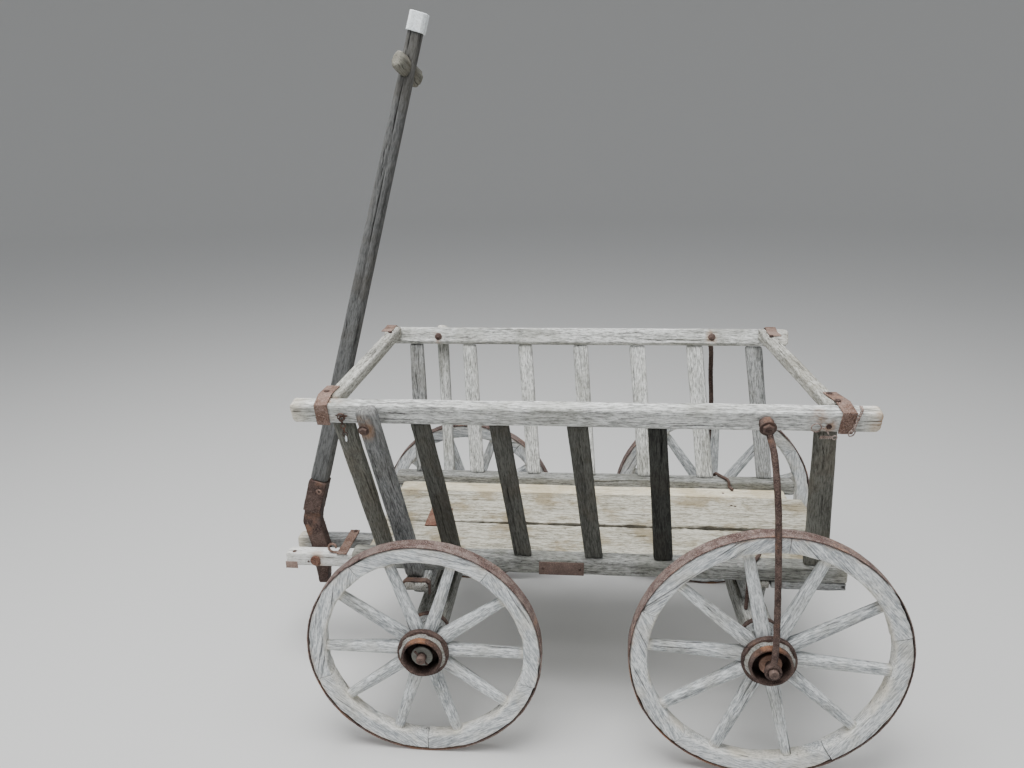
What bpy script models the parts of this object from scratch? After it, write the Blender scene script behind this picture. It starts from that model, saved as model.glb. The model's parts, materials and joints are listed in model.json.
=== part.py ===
"""Weathered hand ladder cart: four spoked wheels, a slatted body and a drawbar on a turning front axle.

Metres, +Z up, wheels on Z = 0. The cart faces -X. Pieces are placed from the front axle line (X = 0) and
hang under one root empty, which puts the middle of the whole cart over the origin.
"""
import math

import bmesh
import bpy
from mathutils import Vector

# Gaps
touch = 0.0003              # between pieces that rest on each other
pin_clearance = 0.0006      # round a pin in its bore
turn_clearance = 0.005      # between pieces that move past each other

# Wheels
wheelbase = 0.632
wheel_width = 0.030
tyre_thickness = 0.004
felloe_depth = 0.032
felloe_inset = 0.0005       # felloe faces inside the tyre's edges, on each side
rim_segments = 40
spoke_count = 10
spoke_root_width = 0.024
spoke_neck_width = 0.027
spoke_tip_width = 0.020
spoke_root_thickness = 0.021
spoke_tip_thickness = 0.017
spoke_sides = 8
spoke_neck_rise = 0.020     # from the nave's face to the widest part of a spoke
nave_segments = 20
nave_inner_reach = 0.052    # from the rim's inner face inwards
nave_nose_reach = 0.0145    # from the rim's outer face outwards
nave_bore_depth = 0.035     # open nose in front of the wheel's thrust washer
nave_barrel_radius = 0.045
nave_nose_wall = 0.0055
nave_inner_radius = 0.036
nose_ring_width = 0.016
shoulder_band_width = 0.014
shoulder_band_proud = 0.004

# Axles
spindle_radius = 0.012
axle_tip_radius = 0.009
thrust_gap = 0.0008
thrust_washer_radius = 0.022
thrust_washer_thickness = 0.005
axle_tip_reach = 0.010      # past the nave's nose
axle_end_gap = 0.003        # from a wooden axle bed to the nave
spindle_segments = 20

# Sides
sill_offset = 0.1941
sill_width = 0.036
sill_height = 0.034
sill_bottom = 0.331
sill_front = -0.163
sill_rear = 0.800
rail_offset = 0.2847
rail_centre_height = 0.691
rail_depth = 0.040
rail_thickness = 0.029
rung_thickness = 0.015

# Floor
floor_thickness = 0.016
floor_front = -0.145
floor_rear = 0.803
board_crack = 0.0008

# Crossbars and straps
crossbar_width = 0.026
crossbar_height = 0.026
crossbar_rise = 0.0125      # crossbar centre above the rails' centres
strap_thickness = 0.0025
strap_width = 0.024
strap_overlap = 0.050       # along the crossbar's top, from the rail

# Stakes
stake_thickness = 0.028
stake_rise = 0.006          # above the rails' outer corner

# Turning front carriage
king_pin_x = -0.024
king_pin_radius = 0.008
king_plate_size = (0.050, 0.084)
king_plate_thickness = 0.003
king_plate_shift = (0.003, -0.016)
king_nut_radius = 0.014
king_nut_height = 0.008
front_bed_x = -0.006
front_bed_width = 0.060
front_bed_height = 0.045
arm_inner_offset = 0.020
arm_width = 0.033
arm_height = 0.033
arm_front = -0.370
arm_rear = 0.120
bed_top_over_spindle = 0.0097
lower_bolster_width = 0.044
lower_bolster_height = 0.0157
lower_bolster_half_span = 0.195
upper_bolster_width = 0.048
bolster_half_span = 0.262
bolster_end_rise = 0.016
bolster_waist_offset = 0.200

# Rear carriage
rear_bed_width = 0.050
rear_bed_height = 0.050
rear_bed_drop = 0.028       # bed underside below the spindle's centre
rear_bolster_width = 0.044
rear_bolster_inset = 0.001  # bolster ends inside the sills' outer faces
rear_bolster_foot_half_span = 0.180
reach_width = 0.044
reach_height = 0.036

# Iron stays and braces
stay_radius = 0.006
stay_eye_radius = 0.015
stay_eye_thickness = 0.010
stay_bolt_radius = 0.013
stay_bolt_length = 0.014
stay_sides = 10
stay_top_shift = 0.031      # its bolt ahead of the rear axle
brace_radius = 0.004
brace_turn = 0.0035         # corner of its hook over the sill
brace_foot_lift = 0.0006    # the foot's end face is not quite level

# Drawbar
hinge_x = -0.300
hinge_above_arm_foot = 0.0165
hinge_pin_radius = 0.007
hinge_head_radius = 0.011
hinge_head_thickness = 0.006
drawbar_lean = math.radians(16.2)
pole_foot = (-0.2910, 0.428)
pole_length = 0.987
pole_foot_depth = 0.0395
pole_foot_width = 0.034
pole_tip_depth = 0.028
pole_tip_width = 0.026
pole_chamfer = 0.006
cap_length = 0.035
cap_wall = 0.003
grip_below_tip = 0.102
grip_aim = (0.19, 0.93, -0.31)   # along the peg, lower on its far end
grip_length = 0.098
grip_section = (0.024, 0.036)
sheath_wall = 0.0028
tongue_thickness = 0.028
latch_x = -0.238
latch_width = 0.022
latch_thickness = 0.004
latch_half_span = 0.056
latch_scroll_radius = 0.012
latch_rod_radius = 0.003

# Wheel table: name, axle x, side, outer rim face from the middle plane, radius, turn of the spokes in degrees
wheel_rows = (
    ("front_near", 0.0, -1, 0.332, 0.225, 0.0),
    ("front_far", 0.0, 1, 0.332, 0.225, -2.2),
    ("rear_near", wheelbase, -1, 0.346, 0.250, -4.5),
    ("rear_far", wheelbase, 1, 0.346, 0.250, -18.6),
)

# Rail table: name, side, front end, rear end
side_rows = (
    ("near", -1, -0.224, 0.792),
    ("far", 1, -0.196, 0.779),
)

# Rung tables: number, x at the rail, x at the sill, width at the rail, width at the sill; near rung 6 is lost
rung_rows = {
    "near": (
        (1, -0.133, -0.093, 0.037, 0.035),
        (2, 0.006, 0.042, 0.036, 0.036),
        (3, 0.147, 0.181, 0.035, 0.036),
        (4, 0.285, 0.320, 0.038, 0.035),
        (5, 0.423, 0.454, 0.034, 0.036),
        (7, 0.705, 0.741, 0.038, 0.046),
    ),
    "far": (
        (1, -0.117, -0.096, 0.034, 0.037),
        (2, 0.016, 0.038, 0.035, 0.034),
        (3, 0.153, 0.178, 0.034, 0.033),
        (4, 0.288, 0.312, 0.036, 0.034),
        (5, 0.425, 0.449, 0.038, 0.035),
        (6, 0.561, 0.591, 0.038, 0.038),
        (7, 0.700, 0.731, 0.040, 0.036),
    ),
}

# Stake table: side name, x at the foot, x at the top, width
stake_rows = {"near": (-0.029, -0.081, 0.036), "far": (-0.036, -0.058, 0.026)}

# Crossbar table: name, x at the near end, x at the far end
crossbar_rows = (("front", -0.152, -0.164), ("rear", 0.718, 0.718))

# Strap table: crossbar, side name, x on the bar, x on the rail
strap_rows = (
    ("front", "near", -0.164, -0.164),
    ("front", "far", -0.172, -0.178),
    ("rear", "near", 0.722, 0.734),
    ("rear", "far", 0.728, 0.738),
)

# Board table: name, near edge, far edge, front end, rear end
floor_half_width = sill_offset - sill_width / 2 - touch
board_rows = (
    ("near", -floor_half_width, -0.030, floor_front, floor_rear),
    ("middle", -0.030 + board_crack, 0.129, floor_front, floor_rear),
    ("far", 0.129 + board_crack, floor_half_width, floor_front, floor_rear - 0.030),
)

# Levels worked out from the values above
sill_top = sill_bottom + sill_height
sill_centre_height = sill_bottom + sill_height / 2
bolster_top = sill_bottom - touch
floor_bottom = sill_bottom
floor_top = floor_bottom + floor_thickness
front_radius = wheel_rows[0][4]
rear_radius = wheel_rows[2][4]
arm_bottom = front_radius + bed_top_over_spindle + touch
arm_top = arm_bottom + arm_height
lower_bolster_bottom = arm_top + touch
lower_bolster_top = lower_bolster_bottom + lower_bolster_height
upper_bolster_bottom = lower_bolster_top + turn_clearance
hinge_height = arm_bottom + hinge_above_arm_foot
middle_x = (arm_front + wheelbase + rear_radius) / 2

# The ladder plane leans outwards from the sill to the rail
ladder_rise = rail_centre_height - sill_centre_height
ladder_spread = rail_offset - sill_offset
ladder_lean = math.atan2(ladder_spread, ladder_rise)


def finish_mesh(name, bm):
    bmesh.ops.remove_doubles(bm, verts=bm.verts, dist=1e-6)
    bmesh.ops.recalc_face_normals(bm, faces=bm.faces)
    mesh = bpy.data.meshes.new(name)
    bm.to_mesh(mesh)
    bm.free()
    return mesh


def make_material(name, colour, roughness, metallic):
    material = bpy.data.materials.new(name)
    material.use_nodes = True
    shader = material.node_tree.nodes["Principled BSDF"]
    shader.inputs["Base Color"].default_value = (*colour, 1.0)
    shader.inputs["Roughness"].default_value = roughness
    shader.inputs["Metallic"].default_value = metallic
    return material


def add_piece(name, bm, material, parent):
    """One named object, its mesh in its parent's frame."""
    mesh = finish_mesh(name, bm)
    mesh.materials.append(material)
    piece = bpy.data.objects.new(name, mesh)
    bpy.context.scene.collection.objects.link(piece)
    piece.parent = parent
    return piece


def add_empty(name, location, parent):
    empty = bpy.data.objects.new(name, None)
    bpy.context.scene.collection.objects.link(empty)
    empty.location = location
    empty.parent = parent
    return empty


def join_to(piece, tool_name, bm):
    """Joins a second closed shape to a piece with an exact Boolean."""
    combine(piece, tool_name, bm, "UNION")


def cut_from(piece, tool_name, bm):
    combine(piece, tool_name, bm, "DIFFERENCE")


def combine(piece, tool_name, bm, operation):
    tool = bpy.data.objects.new(tool_name, finish_mesh(tool_name, bm))
    bpy.context.scene.collection.objects.link(tool)
    tool.parent = piece.parent
    tool.hide_render = True
    tool.display_type = "WIRE"
    boolean = piece.modifiers.new(tool_name, "BOOLEAN")
    boolean.operation = operation
    boolean.solver = "EXACT"
    boolean.object = tool


def round_edges(piece, width, angle=math.radians(40)):
    bevel = piece.modifiers.new("worn_edges", "BEVEL")
    bevel.width = width
    bevel.segments = 1
    bevel.limit_method = "ANGLE"
    bevel.angle_limit = angle


def prism(outline, along, low, high, bm=None):
    """Extrudes a flat outline. along x takes (y, z) points, along y takes (x, z), along z takes (x, y)."""
    bm = bm or bmesh.new()
    place = {
        "x": lambda p, d: (d, p[0], p[1]),
        "y": lambda p, d: (p[0], d, p[1]),
        "z": lambda p, d: (p[0], p[1], d),
    }[along]
    loops = [[bm.verts.new(place(p, d)) for p in outline] for d in (low, high)]
    skin(bm, loops)
    return bm


def box(low, high, bm=None):
    outline = [(low[0], low[1]), (high[0], low[1]), (high[0], high[1]), (low[0], high[1])]
    return prism(outline, "z", low[2], high[2], bm)


def skin(bm, loops, closed=False):
    """Bridges loops of equal length, and caps the ends of an open row of loops."""
    pairs = list(zip(loops, loops[1:]))
    if closed:
        pairs.append((loops[-1], loops[0]))
    for first, second in pairs:
        for i in range(len(first)):
            j = (i + 1) % len(first)
            bm.faces.new((first[i], first[j], second[j], second[i]))
    if not closed:
        bm.faces.new(loops[0])
        bm.faces.new(loops[-1])


def circle_y(bm, radius, y, segments, turn=0.0, x=0.0, z=0.0):
    """A loop round the Y direction whose flats, not corners, lie at the radius."""
    corner = radius / math.cos(math.pi / segments)
    loop = []
    for i in range(segments):
        angle = 2 * math.pi * (i + 0.5) / segments + turn
        loop.append(bm.verts.new((x + corner * math.sin(angle), y, z - corner * math.cos(angle))))
    return loop


def turned(profile, segments, turn=0.0, bm=None, closed=True):
    """Turns (radius, y) points round the Y axis. A closed profile leaves a bore."""
    bm = bm or bmesh.new()
    loops = [circle_y(bm, radius, y, segments, turn) for radius, y in profile]
    skin(bm, loops, closed)
    return bm


def tube(points, radius, sides):
    """A round bar swept along a smooth run of points."""
    bm = bmesh.new()
    run = [Vector(p) for p in points]
    side = Vector((0, 1, 0))
    loops = []
    for i, point in enumerate(run):
        ahead = run[min(i + 1, len(run) - 1)] - run[max(i - 1, 0)]
        ahead.normalize()
        side = (side - ahead * side.dot(ahead)).normalized()
        other = ahead.cross(side)
        loop = []
        for k in range(sides):
            angle = 2 * math.pi * k / sides
            loop.append(bm.verts.new(point + (side * math.cos(angle) + other * math.sin(angle)) * radius))
        loops.append(loop)
    skin(bm, loops)
    return bm


def smooth_run(points, steps):
    """Points on a Catmull-Rom curve through the given ones."""
    run = [Vector(p) for p in points]
    ends = [run[0] * 2 - run[1]] + run + [run[-1] * 2 - run[-2]]
    out = []
    for i in range(1, len(ends) - 2):
        a, b, c, d = ends[i - 1:i + 3]
        for k in range(steps):
            t = k / steps
            out.append(0.5 * (2 * b + (c - a) * t + (2 * a - 5 * b + 4 * c - d) * t * t
                              + (3 * b - a - 3 * c + d) * t ** 3))
    out.append(run[-1])
    return out


def ladder_point(side, along, outwards):
    """(y, z) of a point in the leaning ladder frame: along it from the sill's centre, and outwards from it."""
    y = sill_offset + along * math.sin(ladder_lean) + outwards * math.cos(ladder_lean)
    z = sill_centre_height + along * math.cos(ladder_lean) - outwards * math.sin(ladder_lean)
    return side * y, z


ladder_length = math.hypot(ladder_rise, ladder_spread)


def rail_corner(side, up, out, proud=0.0):
    """(y, z) of one of the rail's four long edges, or of a point proud of both faces that meet there."""
    along = ladder_length + up * (rail_depth / 2 + proud)
    return ladder_point(side, along, out * (rail_thickness / 2 + proud))


def build_wheel(row, materials, parent):
    name, x, side, rim_face, radius, turn_deg = row
    turn = math.radians(turn_deg)
    rim_turn = math.remainder(turn, 2 * math.pi / rim_segments)
    hub = add_empty("wheel_axis_" + name, (x, 0, radius), parent)
    outer_face = rim_face * side
    inner_face = (rim_face - wheel_width) * side

    # Iron tyre, its tread flats at the full radius
    felloe_radius = radius - tyre_thickness
    bm = bmesh.new()
    loops = [
        circle_y(bm, radius, inner_face, rim_segments),
        circle_y(bm, radius, outer_face, rim_segments),
        circle_y(bm, felloe_radius, outer_face, rim_segments, rim_turn),
        circle_y(bm, felloe_radius, inner_face, rim_segments, rim_turn),
    ]
    skin(bm, loops, closed=True)
    add_piece("tyre_" + name, bm, materials["rusty_iron"], hub)

    # Wooden felloe ring
    wood_radius = felloe_radius - touch
    spoke_reach = wood_radius - felloe_depth
    face_out = outer_face - felloe_inset * side
    face_in = inner_face + felloe_inset * side
    profile = [(wood_radius, face_in), (wood_radius, face_out), (spoke_reach, face_out), (spoke_reach, face_in)]
    add_piece("felloes_" + name, turned(profile, rim_segments, rim_turn), materials["grey_wood"], hub)

    # Nave with its iron bands, turned as one and bored for the spindle
    nose = (rim_face + nave_nose_reach) * side
    bore_step = nose - nave_bore_depth * side
    inner_end = (rim_face - wheel_width - nave_inner_reach) * side
    nose_radius = thrust_washer_radius + 0.011 + nave_nose_wall
    band_radius = nave_barrel_radius + shoulder_band_proud
    middle = (rim_face - wheel_width / 2) * side
    half_root = spoke_root_thickness / 2
    band_start = middle + half_root * side
    band_end = band_start + shoulder_band_width * side
    ring_start = nose - nose_ring_width * side
    bore_radius = spindle_radius + pin_clearance
    nave_profile = [
        (bore_radius, inner_end),
        (nave_inner_radius, inner_end),
        (nave_inner_radius + 0.002, inner_end + 0.014 * side),
        (nave_barrel_radius, middle - (half_root + 0.006) * side),
        (nave_barrel_radius, band_start),
        (band_radius, band_start),
        (band_radius, band_end),
        (nose_radius - 0.003, band_end + 0.002 * side),
        (nose_radius - 0.003, ring_start),
        (nose_radius, ring_start),
        (nose_radius, nose),
        (nose_radius - nave_nose_wall, nose),
        (nose_radius - nave_nose_wall, bore_step),
        (bore_radius, bore_step),
    ]
    nave = add_piece("nave_spokes_" + name, turned(nave_profile, nave_segments, turn), materials["grey_wood"], hub)

    # Oval spokes, rooted in the nave and ending on the felloes' flats
    root = nave_barrel_radius - 0.004
    sections = (
        (root, spoke_root_width, spoke_root_thickness),
        (nave_barrel_radius + spoke_neck_rise, spoke_neck_width, spoke_root_thickness),
        (spoke_reach - touch, spoke_tip_width, spoke_tip_thickness),
    )
    spokes = bmesh.new()
    for k in range(spoke_count):
        angle = 2 * math.pi * (k + 0.5) / spoke_count + turn
        outwards = Vector((math.sin(angle), 0, -math.cos(angle)))
        sideways = Vector((math.cos(angle), 0, math.sin(angle)))
        loops = []
        for reach, width, thickness in sections:
            loop = []
            for s in range(spoke_sides):
                around = 2 * math.pi * (s + 0.5) / spoke_sides
                point = outwards * reach + sideways * (math.cos(around) * width / 2)
                point.y = middle + math.sin(around) * thickness / 2
                loop.append(spokes.verts.new(point))
            loops.append(loop)
        skin(spokes, loops)
    join_to(nave, "spokes_" + name, spokes)


def axle_end_profile(rim_face, side, bed_end):
    """Spindle, thrust washer and tip outside a wooden bed, as (radius, y) points."""
    nave_start = rim_face - wheel_width - nave_inner_reach
    nose = rim_face + nave_nose_reach
    washer = nose - nave_bore_depth + thrust_gap
    return [
        (spindle_radius, side * (bed_end - 0.020)),
        (spindle_radius, side * bed_end),
        (spindle_radius + 0.006, side * bed_end),
        (spindle_radius + 0.006, side * (nave_start - thrust_gap)),
        (spindle_radius, side * (nave_start - thrust_gap)),
        (spindle_radius, side * washer),
        (thrust_washer_radius, side * washer),
        (thrust_washer_radius, side * (washer + thrust_washer_thickness)),
        (axle_tip_radius, side * (washer + thrust_washer_thickness)),
        (axle_tip_radius, side * (nose + axle_tip_reach)),
    ]


def build_axle(name, bed_low, bed_high, rim_face, x, z, material, parent, tip_reach=None):
    """A wooden bed with an iron spindle at each end, as one piece."""
    axle = add_piece(name, box(bed_low, bed_high), material, parent)
    for side, label in ((-1, "near"), (1, "far")):
        spindle = bmesh.new()
        points = axle_end_profile(rim_face, side, bed_high[1])
        if tip_reach:
            points[-1] = (axle_tip_radius, side * tip_reach)
        loops = [circle_y(spindle, r, y, spindle_segments, 0.0, x, z) for r, y in points]
        skin(spindle, loops)
        join_to(axle, name + "_spindle_" + label, spindle)
    return axle


def build_sides(materials, body):
    for name, side, rail_front, rail_rear in side_rows:
        sill_low = min(side * (sill_offset - sill_width / 2), side * (sill_offset + sill_width / 2))
        sill_high = sill_low + sill_width
        outline = [(sill_low, sill_bottom), (sill_high, sill_bottom), (sill_high, sill_top), (sill_low, sill_top)]
        sill = add_piece("sill_" + name, prism(outline, "x", sill_front, sill_rear), materials["grey_wood"], body)
        round_edges(sill, 0.002)
        corners = [rail_corner(side, up, out) for up, out in ((-1, -1), (-1, 1), (1, 1), (1, -1))]
        rail = add_piece("rail_" + name, prism(corners, "x", rail_front, rail_rear), materials["grey_wood"], body)
        round_edges(rail, 0.004)
        rung_wood = materials["dark_wood" if side < 0 else "grey_wood"]
        for number, *sizes in rung_rows[name]:
            add_piece("rung_%s_%d" % (name, number), build_rung(side, *sizes), rung_wood, body)


def build_rung(side, x_top, x_foot, width_top, width_foot):
    """A slat between the sill's top face and the rail's underside."""
    bm = bmesh.new()
    along_top = ladder_length - rail_depth / 2 - touch
    foot_height = sill_top + touch
    loops = []
    for level in ("foot", "top"):
        loop = []
        for corner_x, out in ((-0.5, -0.5), (0.5, -0.5), (0.5, 0.5), (-0.5, 0.5)):
            outwards = out * rung_thickness
            if level == "top":
                x = x_top + corner_x * width_top
                y, z = ladder_point(side, along_top, outwards)
            else:
                x = x_foot + corner_x * width_foot
                z = foot_height
                along = (foot_height - sill_centre_height + outwards * math.sin(ladder_lean)) / math.cos(ladder_lean)
                y = ladder_point(side, along, outwards)[0]
            loop.append(bm.verts.new((x, y, z)))
        loops.append(loop)
    skin(bm, loops)
    return bm


def build_crossbars(materials, body):
    centre = rail_centre_height + crossbar_rise
    low, high = centre - crossbar_height / 2, centre + crossbar_height / 2
    low_y, low_z = rail_corner(1, -1, -1)
    slope = math.tan(ladder_lean)
    ends = [low_y + (z - low_z) * slope - touch / math.cos(ladder_lean) for z in (low, high)]
    for name, near_x, far_x in crossbar_rows:
        bm = bmesh.new()
        loops = []
        for half_width in (-crossbar_width / 2, crossbar_width / 2):
            corners = ((-1, ends[0], low), (1, ends[0], low), (1, ends[1], high), (-1, ends[1], high))
            loops.append([bm.verts.new(((near_x if side < 0 else far_x) + half_width, side * end, z))
                          for side, end, z in corners])
        skin(bm, loops)
        bar = add_piece("crossbar_" + name, bm, materials["grey_wood"], body)
        round_edges(bar, 0.003, math.radians(80))
    for bar_name, side_name, bar_x, rail_x in strap_rows:
        side = -1 if side_name == "near" else 1
        strap = build_strap(side, bar_x, rail_x, high)
        add_piece("strap_%s_%s" % (bar_name, side_name), strap, materials["rusty_iron"], body)


def build_strap(side, bar_x, rail_x, bar_top):
    """Bent iron plate from the crossbar's top over the rail and down its outer face."""
    inner_edge = abs(rail_corner(side, 1, -1)[0])
    lifted = bar_top + touch
    path = [
        (side * (inner_edge - strap_overlap), lifted),
        (side * inner_edge, lifted),
        rail_corner(side, 1, 1, touch),
        rail_corner(side, -1, 1, touch),
    ]
    outline = plate_outline(path, strap_thickness, -side)
    bm = bmesh.new()
    reach = abs(path[2][0]) - abs(path[0][0])
    loops = []
    for half_width in (-strap_width / 2, strap_width / 2):
        loop = []
        for y, z in outline:
            share = min(1.0, (abs(y) - abs(path[0][0])) / reach)
            loop.append(bm.verts.new((bar_x + (rail_x - bar_x) * share + half_width, y, z)))
        loops.append(loop)
    skin(bm, loops)
    return bm


def plate_outline(path, thickness, turn_side):
    """(y, z) outline of a bent plate: a path thickened to one side, with mitred bends."""
    points = [Vector(p) for p in path]
    outer = []
    for i, point in enumerate(points):
        before = (point - points[i - 1]).normalized() if i else (points[1] - point).normalized()
        after = (points[i + 1] - point).normalized() if i < len(points) - 1 else before
        normals = [Vector((turn_side * d.y, -turn_side * d.x)) for d in (before, after)]
        mitre = (normals[0] + normals[1]).normalized()
        outer.append(point + mitre * (thickness / mitre.dot(normals[0])))
    return [tuple(p) for p in points] + [tuple(p) for p in reversed(outer)]


def build_floor(materials, body):
    for name, near_edge, far_edge, front, rear in board_rows:
        board = box((front, near_edge, floor_bottom), (rear, far_edge, floor_top))
        add_piece("floor_board_" + name, board, materials["pale_wood"], body)


def build_stakes(materials, body):
    """Front stakes stand on the bolster's ends and lean against the sills and rails from outside."""
    for name, side, _, _ in side_rows:
        sill_edge = (side * (sill_offset + sill_width / 2 + touch), sill_bottom)
        rail_edge = rail_corner(side, 1, 1, touch)
        run = Vector((rail_edge[0] - sill_edge[0], rail_edge[1] - sill_edge[1])).normalized()
        outwards = Vector((side * run.y, -side * run.x))
        foot = Vector(sill_edge)
        top = Vector(rail_edge) + run * stake_rise
        corners = [foot, top, top + outwards * stake_thickness]
        outer_foot = foot + outwards * stake_thickness
        outer_foot += run * ((bolster_top + touch - outer_foot.y) / run.y)
        corners.append(outer_foot)
        foot_x, top_x, width = stake_rows[name]
        bm = bmesh.new()
        loops = []
        for edge in (-0.5, 0.5):
            loop = []
            for corner in corners:
                share = (corner.y - bolster_top) / (top.y - bolster_top)
                x = foot_x + share * (top_x - foot_x) + edge * width
                loop.append(bm.verts.new((x, corner.x, corner.y)))
            loops.append(loop)
        skin(bm, loops)
        stake = add_piece("stake_" + name, bm, materials["grey_wood"], body)
        round_edges(stake, 0.004)


def build_body_irons(materials, body):
    """Rear stays from the rails to the axle tips, and braces from the sills to the axle bed."""
    rear_face = wheel_rows[2][3]
    nose = rear_face + nave_nose_reach
    eye_y = nose + turn_clearance + stay_radius + 0.002
    for name, side, _, _ in side_rows:
        bolt_y, bolt_z = ladder_point(1, ladder_length, rail_thickness / 2 + touch + stay_bolt_length / 2)
        x0 = wheelbase - stay_top_shift
        clear = rear_face + turn_clearance + stay_radius + 0.001
        points = smooth_run([
            (x0, side * bolt_y, bolt_z),
            (wheelbase - 0.021, side * (bolt_y + 0.027), bolt_z - 0.045),
            (wheelbase - 0.015, side * (clear - 0.004), rail_centre_height - 0.116),
            (wheelbase - 0.009, side * clear, 2 * rear_radius + 0.010),
            (wheelbase - 0.002, side * (clear + 0.008), rear_radius + 0.140),
            (wheelbase + 0.001, side * (eye_y - 0.001), rear_radius + 0.052),
            (wheelbase, side * eye_y, rear_radius + 0.012),
        ], 4)
        stay = add_piece("stay_" + name, tube(points, stay_radius, stay_sides), materials["rusty_iron"], body)
        eye = bmesh.new()
        tip = axle_tip_radius + touch
        loops = [
            circle_y(eye, r, side * (eye_y + d * stay_eye_thickness / 2), spindle_segments, 0.0, wheelbase, rear_radius)
            for r, d in ((stay_eye_radius, -1), (stay_eye_radius, 1), (tip, 1), (tip, -1))
        ]
        skin(eye, loops, closed=True)
        join_to(stay, "stay_eye_" + name, eye)
        bore = bmesh.new()
        loops = [circle_y(bore, tip, side * (eye_y + d * 0.02), spindle_segments, 0.0, wheelbase, rear_radius)
                 for d in (-1, 1)]
        skin(bore, loops)
        cut_from(stay, "stay_bore_" + name, bore)
        bolt = bmesh.new()
        loops = []
        for reach in (0.0, stay_bolt_length):
            cy, cz = ladder_point(side, ladder_length, rail_thickness / 2 + touch + reach)
            up_y, up_z = math.sin(ladder_lean) * side, math.cos(ladder_lean)
            loop = []
            for k in range(8):
                angle = 2 * math.pi * (k + 0.5) / 8
                rise = math.cos(angle) * stay_bolt_radius
                loop.append(bolt.verts.new((x0 + math.sin(angle) * stay_bolt_radius, cy + rise * up_y,
                                            cz + rise * up_z)))
            loops.append(loop)
        skin(bolt, loops)
        join_to(stay, "stay_bolt_" + name, bolt)

        out = sill_offset + sill_width / 2 + touch + brace_radius
        over = sill_top + touch + brace_radius
        bed_top = rear_radius - rear_bed_drop + rear_bed_height
        inner = 2 * sill_offset - out
        on_floor = floor_top + touch + brace_radius
        hook = [
            (wheelbase + 0.020, side * (inner - 0.012), on_floor),
            (wheelbase + 0.016, side * (inner - 0.002), on_floor),
            (wheelbase + 0.014, side * inner, on_floor + 0.002),
            (wheelbase + 0.012, side * inner, over - brace_turn),
        ]
        # Only the far brace is bent down on to the floor
        points = (hook if side > 0 else []) + [
            (wheelbase + 0.010, side * (inner + brace_turn), over),
            (wheelbase - 0.012, side * (out - brace_turn), over),
            (wheelbase - 0.014, side * out, over - brace_turn),
            (wheelbase - 0.017, side * (out + 0.001), sill_bottom),
            (wheelbase - 0.018, side * (out + 0.001), bed_top + touch + brace_foot_lift),
        ]
        add_piece("brace_" + name, tube(points, brace_radius, 8), materials["rusty_iron"], body)


def bolster_outline(half_top, half_foot, bottom, top, end_rise):
    """(y, z) outline of a bolster whose ends narrow downwards in a hollow curve."""
    steps = 4
    right = []
    for i in range(steps + 1):
        t = i / steps
        y = half_foot + (half_top - half_foot) * (1 - math.cos(t * math.pi / 2))
        z = bottom + (top - end_rise - bottom) * math.sin(t * math.pi / 2)
        right.append((y, z))
    right.append((half_top, top))
    left = [(-y, z) for y, z in reversed(right)]
    return right + left


def build_body_frame(materials, body):
    outline = bolster_outline(bolster_half_span, bolster_waist_offset, upper_bolster_bottom, bolster_top,
                              bolster_end_rise)
    half = upper_bolster_width / 2
    bolster = add_piece("bolster_front", prism(outline, "x", king_pin_x - half, king_pin_x + half),
                        materials["grey_wood"], body)
    hole = bmesh.new()
    skin(hole, king_circle(hole, king_pin_radius + touch, (upper_bolster_bottom - 0.01, bolster_top + 0.01)))
    cut_from(bolster, "bolster_hole", hole)

    bed_low = rear_radius - rear_bed_drop
    bed_top = bed_low + rear_bed_height
    half_top = sill_offset + sill_width / 2 - rear_bolster_inset
    outline = bolster_outline(half_top, rear_bolster_foot_half_span, bed_top + touch, bolster_top, bolster_end_rise)
    half = rear_bolster_width / 2
    add_piece("bolster_rear", prism(outline, "x", wheelbase - half + 0.004, wheelbase + half + 0.004),
              materials["grey_wood"], body)

    reach_top = bolster_top - 0.004
    front_end = king_pin_x + upper_bolster_width / 2 + touch
    rear_end = wheelbase - rear_bolster_width / 2 + 0.004 - touch
    reach = box((front_end, -reach_width / 2, reach_top - reach_height), (rear_end, reach_width / 2, reach_top))
    add_piece("reach_pole", reach, materials["grey_wood"], body)

    rear_face = wheel_rows[2][3]
    bed_end = rear_face - wheel_width - nave_inner_reach - axle_end_gap - 0.006
    half = rear_bed_width / 2
    tip = rear_face + nave_nose_reach + turn_clearance + 2 * stay_radius + 0.008
    build_axle("axle_rear", (wheelbase - half, -bed_end, bed_low), (wheelbase + half, bed_end, bed_top),
               rear_face, wheelbase, rear_radius, materials["dark_wood"], body, tip)


def king_circle(bm, radius, levels, segments=16):
    loops = []
    for z in levels:
        loops.append([bm.verts.new((king_pin_x + radius * math.cos(2 * math.pi * k / segments),
                                    radius * math.sin(2 * math.pi * k / segments), z)) for k in range(segments)])
    return loops


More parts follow.
